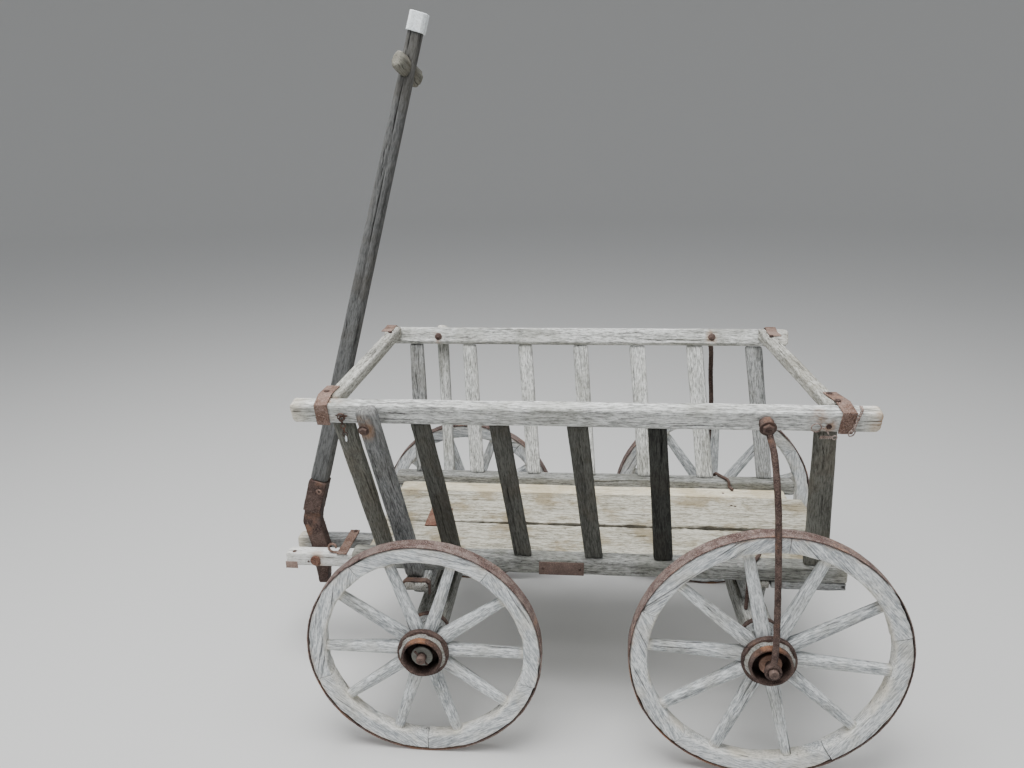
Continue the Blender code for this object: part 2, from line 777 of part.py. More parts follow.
def build_king_pin(materials, body):
    """Pin from the floor plate down through both bolsters and the axle bed, with its nut below."""
    bed_foot = front_radius + bed_top_over_spindle - front_bed_height
    nut_top = bed_foot - 0.001
    bm = bmesh.new()
    skin(bm, king_circle(bm, king_pin_radius, (nut_top - 0.004, floor_top + touch + 0.001)))
    pin = add_piece("king_pin", bm, materials["rusty_iron"], body)
    nut = bmesh.new()
    skin(nut, king_circle(nut, king_nut_radius, (nut_top - king_nut_height, nut_top), 6))
    join_to(pin, "king_nut", nut)
    length, width = king_plate_size
    cx, cy = king_pin_x + king_plate_shift[0], king_plate_shift[1]
    low = (cx - length / 2, cy - width / 2, floor_top + touch)
    high = (cx + length / 2, cy + width / 2, floor_top + touch + king_plate_thickness)
    join_to(pin, "king_plate", box(low, high))
    ring = bmesh.new()
    collar = (lower_bolster_top + touch, upper_bolster_bottom - touch)
    skin(ring, king_circle(ring, king_pin_radius + 0.014, collar))
    join_to(pin, "king_collar", ring)
    for name in ("floor_board_near", "floor_board_middle"):
        hole = bmesh.new()
        skin(hole, king_circle(hole, king_pin_radius + touch, (floor_bottom - 0.01, floor_top + 0.01)))
        cut_from(bpy.data.objects[name], name + "_hole", hole)


def build_front_carriage(materials, steering):
    bed_top = front_radius + bed_top_over_spindle
    bed_foot = bed_top - front_bed_height
    front_face = wheel_rows[0][3]
    bed_end = front_face - wheel_width - nave_inner_reach - axle_end_gap - 0.006
    half = front_bed_width / 2
    low = (front_bed_x - half, -bed_end, bed_foot)
    high = (front_bed_x + half, bed_end, bed_top)
    axle = build_axle("axle_front", low, high, front_face, 0.0, front_radius, materials["dark_wood"], steering)
    half = lower_bolster_width / 2
    low = (king_pin_x - half, -lower_bolster_half_span, lower_bolster_bottom)
    high = (king_pin_x + half, lower_bolster_half_span, lower_bolster_top)
    bolster = add_piece("bolster_lower", box(low, high), materials["grey_wood"], steering)
    for piece in (axle, bolster):
        hole = bmesh.new()
        levels = (bed_foot - 0.01, lower_bolster_top + 0.01)
        skin(hole, king_circle(hole, king_pin_radius + pin_clearance, levels))
        cut_from(piece, piece.name + "_hole", hole)

    for name, side in (("near", -1), ("far", 1)):
        inner, outer = side * arm_inner_offset, side * (arm_inner_offset + arm_width)
        low = (arm_front, min(inner, outer), arm_bottom)
        high = (arm_rear, max(inner, outer), arm_top)
        arm = add_piece("arm_" + name, box(low, high), materials["pale_wood"], steering)
        hole = bmesh.new()
        loops = [circle_y(hole, hinge_pin_radius + touch, y, 16, 0.0, hinge_x, hinge_height)
                 for y in (low[1] - 0.01, high[1] + 0.01)]
        skin(hole, loops)
        cut_from(arm, "arm_hole_" + name, hole)
        round_edges(arm, 0.003, math.radians(80))

    outer = arm_inner_offset + arm_width + touch
    bm = bmesh.new()
    profile = (
        (hinge_head_radius, -outer - hinge_head_thickness),
        (hinge_head_radius, -outer),
        (hinge_pin_radius, -outer),
        (hinge_pin_radius, outer),
        (hinge_head_radius, outer),
        (hinge_head_radius, outer + hinge_head_thickness),
    )
    loops = [circle_y(bm, r, y, 16, 0.0, hinge_x, hinge_height) for r, y in profile]
    skin(bm, loops)
    add_piece("drawbar_bolt", bm, materials["rusty_iron"], steering)

    low = (latch_x - latch_width / 2, -latch_half_span, arm_top + touch)
    high = (latch_x + latch_width / 2, latch_half_span, arm_top + touch + latch_thickness)
    latch = add_piece("keeper_bar", box(low, high), materials["rusty_iron"], steering)
    rod_z = arm_top + touch + latch_rod_radius
    rod_y = -latch_half_span + 0.006
    points = [(latch_x, rod_y, rod_z), (latch_x - 0.020, rod_y, rod_z)]
    for k in range(1, 10):
        angle = k * math.radians(32)
        radius = latch_scroll_radius * (1 - 0.05 * k)
        points.append((latch_x - 0.020 - radius * math.sin(angle), rod_y,
                       rod_z + latch_scroll_radius - radius * math.cos(angle)))
    join_to(latch, "keeper_scroll", tube(points, latch_rod_radius, 6))


def pole_point(along, forwards=0.0):
    """(x, z) in the drawbar's leaning frame: along the pole from its foot, and forwards from its centre line."""
    x = pole_foot[0] + along * math.sin(drawbar_lean) - forwards * math.cos(drawbar_lean)
    z = pole_foot[1] + along * math.cos(drawbar_lean) + forwards * math.sin(drawbar_lean)
    return x, z


def pole_section(bm, along, depth, width, chamfer):
    half_depth, half_width = depth / 2, width / 2
    loop = []
    corners = (
        (half_depth, half_width - chamfer), (half_depth - chamfer, half_width),
        (chamfer - half_depth, half_width), (-half_depth, half_width - chamfer),
        (-half_depth, chamfer - half_width), (chamfer - half_depth, -half_width),
        (half_depth - chamfer, -half_width), (half_depth, chamfer - half_width),
    )
    for forwards, across in corners:
        x, z = pole_point(along, forwards)
        loop.append(bm.verts.new((x - hinge_x, across, z - hinge_height)))
    return loop


def pole_size(along):
    share = along / pole_length
    return (pole_foot_depth + (pole_tip_depth - pole_foot_depth) * share,
            pole_foot_width + (pole_tip_width - pole_foot_width) * share)


def build_drawbar(materials, hinge):
    wood_end = pole_length - cap_wall - touch
    bm = bmesh.new()
    loops = []
    for along in (0.0, wood_end):
        depth, width = pole_size(along)
        loops.append(pole_section(bm, along, depth, width, pole_chamfer))
    skin(bm, loops)
    pole = add_piece("drawbar_pole", bm, materials["dark_wood"], hinge)

    # White metal cap over the end of the pole
    bm = bmesh.new()
    start = pole_length - cap_length
    loops = []
    for along, wall in ((start, touch), (start, cap_wall), (pole_length, cap_wall)):
        depth, width = pole_size(along)
        loops.append(pole_section(bm, along, depth + 2 * wall, width + 2 * wall, pole_chamfer))
    depth, width = pole_size(pole_length)
    loops_in = pole_section(bm, wood_end + touch, depth + 2 * touch, width + 2 * touch, pole_chamfer)
    for first, second in zip(loops, loops[1:]):
        for i in range(8):
            j = (i + 1) % 8
            bm.faces.new((first[i], first[j], second[j], second[i]))
    for i in range(8):
        j = (i + 1) % 8
        bm.faces.new((loops_in[i], loops_in[j], loops[0][j], loops[0][i]))
    bm.faces.new(loops[-1])
    bm.faces.new(loops_in)
    add_piece("drawbar_cap", bm, materials["white_metal"], hinge)

    # Wooden hand peg through the pole
    x, z = pole_point(pole_length - grip_below_tip)
    axis = Vector(grip_aim).normalized()
    up = Vector((math.sin(drawbar_lean), 0, math.cos(drawbar_lean)))
    up = (up - axis * up.dot(axis)).normalized()
    side = axis.cross(up)
    centre = Vector((x - hinge_x, 0, z - hinge_height))
    grip = peg(centre, axis, side, up, grip_length, grip_section, 0.0)
    add_piece("hand_peg", grip, materials["grey_wood"], hinge)
    cut_from(pole, "peg_slot", peg(centre, axis, side, up, grip_length, grip_section, touch))

    # Forged iron: sheath on the pole's foot, crank, tongue between the arms and heel below
    outer_half = pole_foot_width / 2 + sheath_wall
    sheath_front = pole_foot_depth / 2
    foot_low = -0.078
    sheath = [
        pole_point(-touch, sheath_front), pole_point(-touch, -sheath_front),
        pole_point(foot_low, -sheath_front), pole_point(foot_low, sheath_front),
    ]
    outline = [(px - hinge_x, pz - hinge_height) for px, pz in sheath]
    iron = add_piece("drawbar_iron", prism(outline, "y", -outer_half, outer_half), materials["rusty_iron"], hinge)
    left = pole_point(foot_low + 0.012, sheath_front - 0.001)
    right = pole_point(foot_low + 0.012, 0.001 - sheath_front)
    tongue = [
        (left[0] - hinge_x, left[1] - hinge_height),
        (right[0] - hinge_x, right[1] - hinge_height),
        (-0.0166 + 0.020, 0.0745),
        (0.016, 0.010),
        (0.015, -0.030),
        (0.008, -0.082),
        (-0.012, -0.082),
        (-0.018, -0.030),
        (-0.021, 0.010),
        (-0.0166 - 0.020, 0.0745),
    ]
    join_to(iron, "tongue", prism(tongue, "y", -tongue_thickness / 2, tongue_thickness / 2))
    eye = bmesh.new()
    skin(eye, [circle_y(eye, hinge_pin_radius + pin_clearance, y, 16) for y in (-0.05, 0.05)])
    cut_from(iron, "tongue_eye", eye)


def peg(centre, axis, side, up, length, section, proud):
    """An octagonal peg along axis, its corners cut."""
    bm = bmesh.new()
    loops = []
    for end in (-0.5, 0.5):
        loop = []
        for k in range(8):
            angle = 2 * math.pi * (k + 0.5) / 8
            point = centre + axis * (end * length)
            point = point + side * (math.cos(angle) * (section[0] / 2 + proud))
            point = point + up * (math.sin(angle) * (section[1] / 2 + proud))
            loop.append(bm.verts.new(point))
        loops.append(loop)
    skin(bm, loops)
    return bm


def build_cart():
    for old in list(bpy.data.objects):
        bpy.data.objects.remove(old)
    materials = {
        "grey_wood": make_material("grey_wood", (0.42, 0.42, 0.39), 0.85, 0.0),
        "dark_wood": make_material("dark_wood", (0.16, 0.15, 0.13), 0.85, 0.0),
        "pale_wood": make_material("pale_wood", (0.52, 0.48, 0.38), 0.85, 0.0),
        "rusty_iron": make_material("rusty_iron", (0.16, 0.08, 0.06), 0.75, 0.3),
        "white_metal": make_material("white_metal", (0.72, 0.75, 0.76), 0.5, 0.2),
    }
    root = add_empty("cart_origin", (-middle_x, 0, 0), None)
    steering_axis = add_empty("steering_axis", (king_pin_x, 0, 0), root)
    steering = add_empty("front_axle_line", (-king_pin_x, 0, 0), steering_axis)
    hinge = add_empty("drawbar_hinge", (hinge_x, 0, hinge_height), steering)
    build_sides(materials, root)
    build_crossbars(materials, root)
    build_floor(materials, root)
    build_body_frame(materials, root)
    build_king_pin(materials, root)
    build_stakes(materials, root)
    build_body_irons(materials, root)
    build_front_carriage(materials, steering)
    build_drawbar(materials, hinge)
    for row in wheel_rows:
        build_wheel(row, materials, steering if row[0].startswith("front") else root)


build_cart()
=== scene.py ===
import json
import math

import bpy
import numpy as np
from mathutils import Matrix, Vector

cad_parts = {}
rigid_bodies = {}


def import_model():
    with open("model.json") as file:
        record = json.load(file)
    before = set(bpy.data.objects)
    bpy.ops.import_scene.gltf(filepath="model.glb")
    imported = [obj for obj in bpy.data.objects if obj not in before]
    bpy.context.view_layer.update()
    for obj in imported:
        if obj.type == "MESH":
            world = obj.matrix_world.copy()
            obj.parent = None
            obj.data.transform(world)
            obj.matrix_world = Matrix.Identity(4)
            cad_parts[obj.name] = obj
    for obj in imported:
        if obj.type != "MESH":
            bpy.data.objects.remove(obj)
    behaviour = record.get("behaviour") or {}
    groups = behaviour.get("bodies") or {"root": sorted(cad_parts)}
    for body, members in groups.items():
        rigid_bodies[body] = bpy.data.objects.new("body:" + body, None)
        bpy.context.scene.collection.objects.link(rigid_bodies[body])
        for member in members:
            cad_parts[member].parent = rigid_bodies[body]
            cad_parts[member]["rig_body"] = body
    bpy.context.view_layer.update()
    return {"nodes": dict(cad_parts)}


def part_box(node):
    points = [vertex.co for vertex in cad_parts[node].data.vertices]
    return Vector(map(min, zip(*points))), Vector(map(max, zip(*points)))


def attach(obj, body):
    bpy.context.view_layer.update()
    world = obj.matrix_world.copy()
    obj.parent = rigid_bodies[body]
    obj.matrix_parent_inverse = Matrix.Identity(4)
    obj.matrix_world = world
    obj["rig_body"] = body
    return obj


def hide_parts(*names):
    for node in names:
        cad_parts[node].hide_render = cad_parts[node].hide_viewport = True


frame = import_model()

print("frame loaded:", len(frame["nodes"]), "nodes")

nodes = frame["nodes"]
fullTurn = 2 * math.pi
upwards, towards = Vector((0, 0, 1)), Vector((0, -1, 0))      # up, and out of the near side
weld = 1e-5


camera = dict(place=(0.03448, -1.54621, 1.13608), forward=(-0.089111, 0.951249, -0.295271),
              up=(-0.012313, 0.295375, 0.955302), lens=27.04, sensor=36.0, wide=1024, high=768)


def cameraAxes():
    forward = Vector(camera["forward"]).normalized()
    right = forward.cross(Vector(camera["up"])).normalized()
    return forward, right, right.cross(forward)


def setCamera():
    forward, right, up = cameraAxes()
    bpy.ops.object.camera_add(location=camera["place"])
    body = bpy.context.object
    body.rotation_euler = Matrix((right, up, -forward)).transposed().to_euler()
    body.data.lens = camera["lens"]
    body.data.sensor_width = camera["sensor"]
    bpy.context.scene.camera = body


def seenAt(px, py, point, normal):
    # where a pixel of the photograph meets the plane of the face that carries the piece
    forward, right, up = cameraAxes()
    focal = camera["lens"] / camera["sensor"] * camera["wide"]
    ray = forward + right * ((px - camera["wide"] / 2) / focal) - up * ((py - camera["high"] / 2) / focal)
    place, normal = Vector(camera["place"]), Vector(normal)
    return place + ray * ((Vector(point) - place).dot(normal) / ray.dot(normal))


# Blender helpers

def activate(piece):
    if bpy.context.object and bpy.context.object.mode != "OBJECT":
        bpy.ops.object.mode_set(mode="OBJECT")
    bpy.ops.object.select_all(action="DESELECT")
    piece.select_set(True)
    bpy.context.view_layer.objects.active = piece


def selectMesh():
    bpy.ops.mesh.select_all(action="SELECT")


def startEditing(piece):
    activate(piece)
    bpy.ops.object.mode_set(mode="EDIT")
    selectMesh()


def stopEditing():
    bpy.ops.object.mode_set(mode="OBJECT")


def addModifier(piece, kind, **settings):
    # adds a modifier and applies it at once
    activate(piece)
    modifier = piece.modifiers.new(kind.lower(), kind)
    for key, value in settings.items():
        setattr(modifier, key, value)
    bpy.ops.object.modifier_apply(modifier=modifier.name)


def settle(piece):
    # moves the object's place into its mesh
    activate(piece)
    bpy.ops.object.transform_apply(location=True, rotation=True, scale=True)


def finishAs(piece, name, finish, body, smoothAngle):
    piece.name = piece.data.name = name
    piece.data.materials.clear()
    piece.data.materials.append(finishes[finish])
    activate(piece)
    bpy.ops.object.shade_smooth_by_angle(angle=math.radians(smoothAngle))
    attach(piece, body)


def addObject(name, data):
    piece = bpy.data.objects.new(name, data)
    bpy.context.collection.objects.link(piece)
    return piece


def solidCopy(node, ending):
    # a welded copy of one of the cart's solids
    piece = addObject(node + ending, nodes[node].data.copy())
    startEditing(piece)
    bpy.ops.mesh.remove_doubles(threshold=weld)
    stopEditing()
    return piece


def remesh(piece, cell, rounds):
    addModifier(piece, "REMESH", mode="VOXEL", voxel_size=cell)
    addModifier(piece, "SMOOTH", factor=0.5, iterations=rounds)


def join(pieces):
    activate(pieces[0])
    for piece in pieces[1:]:
        piece.select_set(True)
    bpy.ops.object.join()
    return bpy.context.object


def turned(profile, centre, axis, steps=32, angle=fullTurn, start=0.0, closed=True):
    # turns (radius, along) points about an axis through the centre
    axis = Vector(axis).normalized()
    side = axis.orthogonal().normalized() if abs(axis.y) < 0.9 else Vector((0, 0, -1))
    side = Matrix.Rotation(start, 3, axis) @ side
    places = [Vector(centre) + side * radius + axis * along for radius, along in profile]
    bpy.ops.mesh.primitive_plane_add(size=0.001, location=places[0])
    piece = bpy.context.object
    startEditing(piece)
    bpy.ops.mesh.merge(type="CENTER")
    for before, after in zip(places, places[1:]):
        bpy.ops.mesh.extrude_region_move(TRANSFORM_OT_translate={"value": after - before})
    selectMesh()
    if closed:
        bpy.ops.mesh.edge_face_add()
        if angle >= fullTurn:
            bpy.ops.mesh.delete(type="ONLY_FACE")
            selectMesh()
    bpy.ops.mesh.spin(steps=steps, angle=angle, center=centre, axis=axis)
    selectMesh()
    bpy.ops.mesh.remove_doubles(threshold=weld)
    bpy.ops.mesh.normals_make_consistent(inside=False)
    stopEditing()
    settle(piece)
    return piece


def block(centre, size, axes=None, bevel=0.0):
    # a bevelled bar whose own X, Y and Z run along the given axes
    bpy.ops.mesh.primitive_cube_add(size=1.0)
    piece = bpy.context.object
    piece.scale = size
    settle(piece)
    if bevel:
        startEditing(piece)
        bpy.ops.mesh.bevel(offset=bevel, segments=2, affect="EDGES")
        stopEditing()
    turn = Matrix(axes).transposed() if axes else Matrix.Identity(3)
    piece.matrix_world = Matrix.Translation(centre) @ turn.to_4x4()
    settle(piece)
    return piece


def rod(points, radius, smooth=True):
    # a round bar or wire along a curve through the points
    data = bpy.data.curves.new("rod", "CURVE")
    data.dimensions = "3D"
    data.bevel_depth = radius
    data.bevel_resolution = 2
    data.use_fill_caps = True
    spline = data.splines.new("NURBS" if smooth else "POLY")
    spline.points.add(len(points) - 1)
    if smooth:
        spline.order_u = 4
        spline.use_endpoint_u = True
        data.resolution_u = 6
    for target, point in zip(spline.points, points):
        target.co = (*point, 1.0)
    activate(addObject("rod", data))
    bpy.ops.object.convert(target="MESH")
    return bpy.context.object


# Noise worked out for all the vertices of a mesh at once

def clamp(values):
    return np.clip(values, 0, 1)


def hashed(cells, seed):
    cells = cells.astype(np.int64)
    mixed = cells[:, 0] * 73856093 ^ cells[:, 1] * 19349663 ^ cells[:, 2] * 83492791 ^ (seed * 2654435761)
    mixed = (mixed ^ (mixed >> 13)) * 1274126177
    mixed = (mixed ^ (mixed >> 16)) & 0xFFFF
    return mixed / 65535.0


def lumps(points, seed):
    # smooth value noise, 0 to 1
    base = np.floor(points)
    share = points - base
    share = share * share * (3 - 2 * share)
    total = np.zeros(len(points))
    for corner in range(8):
        step = np.array([corner & 1, corner >> 1 & 1, corner >> 2 & 1])
        weight = np.prod(np.where(step, share, 1 - share), axis=1)
        total += weight * hashed(base + step, seed)
    return total


def readVectors(mesh, key):
    values = np.zeros(len(mesh.vertices) * 3, np.float32)
    mesh.vertices.foreach_get(key, values)
    return values.reshape(-1, 3).astype(float)


def surfaceOf(piece):
    return readVectors(piece.data, "co"), readVectors(piece.data, "normal")


def writePlaces(mesh, places):
    mesh.vertices.foreach_set("co", places.astype(np.float32).ravel())
    mesh.update()


def push(piece, places, normals, amounts):
    # moves each vertex along its normal
    places = places + normals * amounts[:, None]
    writePlaces(piece.data, places)
    return places


def writeAttribute(mesh, name, values):
    kind, key = ("FLOAT", "value") if values.ndim == 1 else ("FLOAT_VECTOR", "vector")
    attribute = mesh.attributes.get(name) or mesh.attributes.new(name, kind, "POINT")
    attribute.data.foreach_set(key, values.astype(np.float32).ravel())


def writeHollows(mesh, size):
    # positive in cracks and corners, negative on worn edges
    places, normals = readVectors(mesh, "co"), readVectors(mesh, "normal")
    ends = np.zeros(len(mesh.edges) * 2, np.int32)
    mesh.edges.foreach_get("vertices", ends)
    ends = ends.reshape(-1, 2)
    lift, count = np.zeros(len(places)), np.zeros(len(places))
    for a, b in ((0, 1), (1, 0)):
        gap = places[ends[:, b]] - places[ends[:, a]]
        rise = np.einsum("ij,ij->i", gap, normals[ends[:, a]])
        np.add.at(lift, ends[:, a], rise)
        np.add.at(count, ends[:, a], 1)
    writeAttribute(mesh, "hollow", np.clip(lift / np.maximum(count, 1) / size, -1, 1))


def darken(mesh, amounts):
    # raises the hollows where a piece never sees the light
    hollow = mesh.attributes["hollow"]
    values = np.zeros(len(mesh.vertices), np.float32)
    hollow.data.foreach_get("value", values)
    hollow.data.foreach_set("value", np.maximum(values, amounts).astype(np.float32))


# Shader helpers

class Signal:
    def __init__(self, finish, socket):
        self.finish = finish
        self.socket = socket

    def maths(self, operation, *others):
        values = dict(enumerate((self, *others)))
        return self.finish.node("ShaderNodeMath", {"operation": operation}, values)

    def __add__(self, other):
        return self.maths("ADD", other)

    def __sub__(self, other):
        return self.maths("SUBTRACT", other)

    def __mul__(self, other):
        return self.maths("MULTIPLY", other)

    def __rsub__(self, other):
        return self.maths("MULTIPLY", -1.0).maths("ADD", other)

    __radd__ = __add__
    __rmul__ = __mul__

    def between(self, low, high):
        # 0 below low, 1 above high
        values = {"Value": self, "From Min": low, "From Max": high}
        return self.finish.node("ShaderNodeMapRange", {"interpolation_type": "SMOOTHSTEP"}, values)


class Finish:
    def __init__(self, name):
        self.material = bpy.data.materials.new(name)
        self.material.use_nodes = True
        self.tree = self.material.node_tree
        self.tree.nodes.clear()
        self.shader = self.tree.nodes.new("ShaderNodeBsdfPrincipled")
        output = self.tree.nodes.new("ShaderNodeOutputMaterial")
        self.tree.links.new(self.shader.outputs[0], output.inputs[0])

    def node(self, kind, settings=None, values=None, out=0):
        made = self.tree.nodes.new(kind)
        for key, value in (settings or {}).items():
            setattr(made, key, value)
        for key, value in (values or {}).items():
            self.feed(made.inputs[key], value)
        return Signal(self, made.outputs[out])

    def feed(self, socket, value):
        if isinstance(value, Signal):
            self.tree.links.new(value.socket, socket)
        elif socket.type == "RGBA" and len(value) == 3:
            socket.default_value = (*value, 1.0)
        else:
            socket.default_value = value

    def attribute(self, name, out="Vector"):
        return self.node("ShaderNodeAttribute", {"attribute_name": name}, out=out)

    def place(self):
        return self.node("ShaderNodeTexCoord", out="Object")

    def noise(self, vector, scale, detail=3.0, roughness=0.6, distortion=0.0):
        values = {"Vector": vector, "Scale": scale, "Detail": detail, "Roughness": roughness,
                  "Distortion": distortion}
        return self.node("ShaderNodeTexNoise", None, values)

    def streaks(self, grain, scale, offset, detail, roughness=0.6, distortion=0.0):
        # noise drawn out along the grain
        values = {"Vector": grain, "Scale": scale, "Location": offset}
        return self.noise(self.node("ShaderNodeMapping", None, values), 1.0, detail, roughness, distortion)

    def mix(self, share, first, second):
        return self.node("ShaderNodeMix", {"data_type": "RGBA"}, {0: share, 6: first, 7: second}, out=2)

    def finishWith(self, colour, roughness, height, distance, metallic=0.0):
        bump = self.node("ShaderNodeBump", None, {"Height": height, "Distance": distance, "Strength": 1.0})
        for key, value in (("Base Color", colour), ("Roughness", roughness), ("Normal", bump),
                           ("Metallic", metallic)):
            self.feed(self.shader.inputs[key], value)
        self.shader.inputs["Specular IOR Level"].default_value = 0.3
        return self.material


# Finishes, colours in linear light

# name: light, mid, dark, stain, share of stain, contrast, slot
woods = {
    "silver": ((0.80, 0.81, 0.79), (0.31, 0.315, 0.30), (0.045, 0.043, 0.038),
               (0.27, 0.27, 0.22), 0.35, 0.85, "grey_wood"),
    "ash": ((0.42, 0.43, 0.425), (0.15, 0.155, 0.152), (0.028, 0.027, 0.025),
            (0.15, 0.14, 0.115), 0.35, 0.8, "grey_wood"),
    "felloe": ((0.84, 0.855, 0.85), (0.36, 0.385, 0.405), (0.08, 0.08, 0.08),
               (0.62, 0.585, 0.49), 0.4, 0.5, "grey_wood"),
    "spoke": ((0.78, 0.80, 0.80), (0.31, 0.33, 0.34), (0.06, 0.058, 0.054),
              (0.36, 0.345, 0.29), 0.35, 0.6, "grey_wood"),
    "damp": ((0.11, 0.111, 0.097), (0.052, 0.052, 0.046), (0.014, 0.013, 0.011),
             (0.078, 0.064, 0.046), 0.35, 0.55, "dark_wood"),
    "dusk": ((0.055, 0.056, 0.050), (0.024, 0.0245, 0.0215), (0.009, 0.009, 0.008),
             (0.036, 0.030, 0.022), 0.35, 0.7, "dark_wood"),
    "smoke": ((0.27, 0.275, 0.272), (0.105, 0.108, 0.108), (0.022, 0.021, 0.020),
              (0.10, 0.095, 0.082), 0.35, 0.8, "grey_wood"),
    "dun": ((0.60, 0.595, 0.55), (0.26, 0.255, 0.225), (0.045, 0.042, 0.034),
            (0.22, 0.20, 0.15), 0.4, 0.85, "grey_wood"),
    "drab": ((0.20, 0.20, 0.175), (0.098, 0.097, 0.083), (0.024, 0.022, 0.018),
             (0.12, 0.10, 0.07), 0.4, 0.9, "dark_wood"),
    "deck": ((0.60, 0.58, 0.50), (0.27, 0.252, 0.19), (0.055, 0.048, 0.034),
             (0.25, 0.20, 0.115), 0.75, 1.1, "pale_wood"),
    "cream": ((0.80, 0.75, 0.60), (0.60, 0.54, 0.40), (0.18, 0.14, 0.085),
              (0.50, 0.41, 0.24), 0.55, 0.55, "pale_wood"),
    "sill": ((0.36, 0.365, 0.345), (0.165, 0.168, 0.157), (0.035, 0.033, 0.029),
             (0.12, 0.12, 0.09), 0.4, 1.1, "grey_wood"),
    "pole": ((0.155, 0.158, 0.156), (0.075, 0.0765, 0.0755), (0.015, 0.0145, 0.014),
             (0.085, 0.074, 0.057), 0.35, 0.5, "dark_wood"),
    "lime": ((0.88, 0.885, 0.87), (0.66, 0.66, 0.63), (0.12, 0.10, 0.085),
             (0.46, 0.42, 0.35), 0.35, 0.8, "pale_wood"),
}
wornEnd = (0.74, 0.67, 0.52)
rustRun = (0.36, 0.185, 0.085)


def makeWood(name, light, mid, dark, stain, stainShare, contrast):
    finish = Finish(name)
    grain = finish.attribute("grain")
    hollow = finish.attribute("hollow", "Fac")
    ends = finish.attribute("wornEnd", "Fac")
    rust = finish.attribute("rustRun", "Fac")
    place = finish.place()
    fibres = finish.streaks(grain, (60, 430, 430), (0, 0, 0), 3.0, 0.62, 0.3)
    threads = finish.streaks(grain, (85, 900, 900), (4, 2, 6), 2.0)
    bands = finish.streaks(grain, (5, 70, 70), (0, 0, 0), 4.0, 0.62, 0.8)
    flecks = finish.streaks(grain, (150, 420, 420), (9, 3, 1), 2.0)
    patches = finish.noise(place, 12.0, 4.0, 0.62)
    clouds = finish.noise(place, 34.0, 3.0, 0.6)
    checks = finish.streaks(grain, (6, 230, 230), (3, 1, 2), 2.0, 0.5, 0.5).between(0.61, 0.68)
    checks = checks * finish.streaks(grain, (8, 40, 40), (1, 5, 2), 2.0).between(0.47, 0.6)
    tone = fibres.between(0.39, 0.61) * 0.50 + bands.between(0.36, 0.64) * 0.35
    tone = tone + threads.between(0.36, 0.66) * 0.25 + flecks.between(0.55, 0.7) * 0.25
    colour = finish.mix(tone.between(0.12, 1.05), mid, light)
    colour = finish.mix(patches.between(0.46, 0.64) * stainShare, colour, stain)
    colour = finish.mix(clouds.between(0.60, 0.72) * 0.3, colour, light)
    colour = finish.mix((ends * (clouds * 0.6 + 0.6)).maths("MINIMUM", 0.85), colour, wornEnd)
    colour = finish.mix((rust * clouds.between(0.34, 0.6)).maths("MINIMUM", 0.85), colour, rustRun)
    shade = fibres.between(0.44, 0.32) * 0.50 * contrast + bands.between(0.42, 0.28) * 0.30 * contrast
    shade = shade + flecks.between(0.43, 0.30) * 0.50 * contrast
    # hollow darkens cracks and corners, and carries the painted shade that darken adds
    shade = shade + checks * 0.7 + hollow.between(0.10, 0.5) * 0.8
    colour = finish.mix(shade.maths("MINIMUM", 0.92), colour, dark)
    colour = finish.mix(hollow.between(-0.12, -0.5) * 0.45, colour, light)
    height = bands * 0.4 + fibres * 0.4 + threads * 0.12 + flecks * 0.2 - checks * 0.8
    rough = 0.96 - tone * 0.14
    return finish.finishWith(colour, rough, height, 0.0015)


def makeIron(name, base, dark, orange, pale, orangeShare, metallic):
    finish = Finish(name)
    place = finish.place()
    hollow = finish.attribute("hollow", "Fac")
    cloud = finish.noise(place, 42.0, 4.0, 0.65)
    grit = finish.noise(place, 330.0, 3.0, 0.68)
    specks = finish.noise(place, 520.0, 2.0, 0.5)
    runs = finish.noise(place, 13.0, 3.0, 0.6, 0.5)
    fresh = finish.attribute("freshRust", "Fac")
    colour = finish.mix(grit.between(0.32, 0.6), dark, base)
    colour = finish.mix(cloud.between(0.35, 0.65) * 0.35, colour, pale)
    colour = finish.mix(runs.between(0.54, 0.68) * cloud.between(0.45, 0.62) * orangeShare, colour, orange)
    colour = finish.mix((fresh * cloud.between(0.3, 0.55)).maths("MINIMUM", 0.9), colour, orange)
    colour = finish.mix(specks.between(0.56, 0.68) * 0.7, colour, pale)
    # darkened pits, cracks and corners, with the painted shade that darken adds to the hollow values
    pitsAndShade = specks.between(0.42, 0.30) * 0.6 + hollow.between(0.08, 0.5) * 0.6
    colour = finish.mix(pitsAndShade.maths("MINIMUM", 0.9), colour, dark)
    colour = finish.mix(hollow.between(-0.15, -0.6) * 0.35, colour, pale)
    height = grit * 0.7 + cloud * 0.6 + specks * 0.3
    rough = 0.60 + grit * 0.3
    return finish.finishWith(colour, rough, height, 0.0010, metallic)


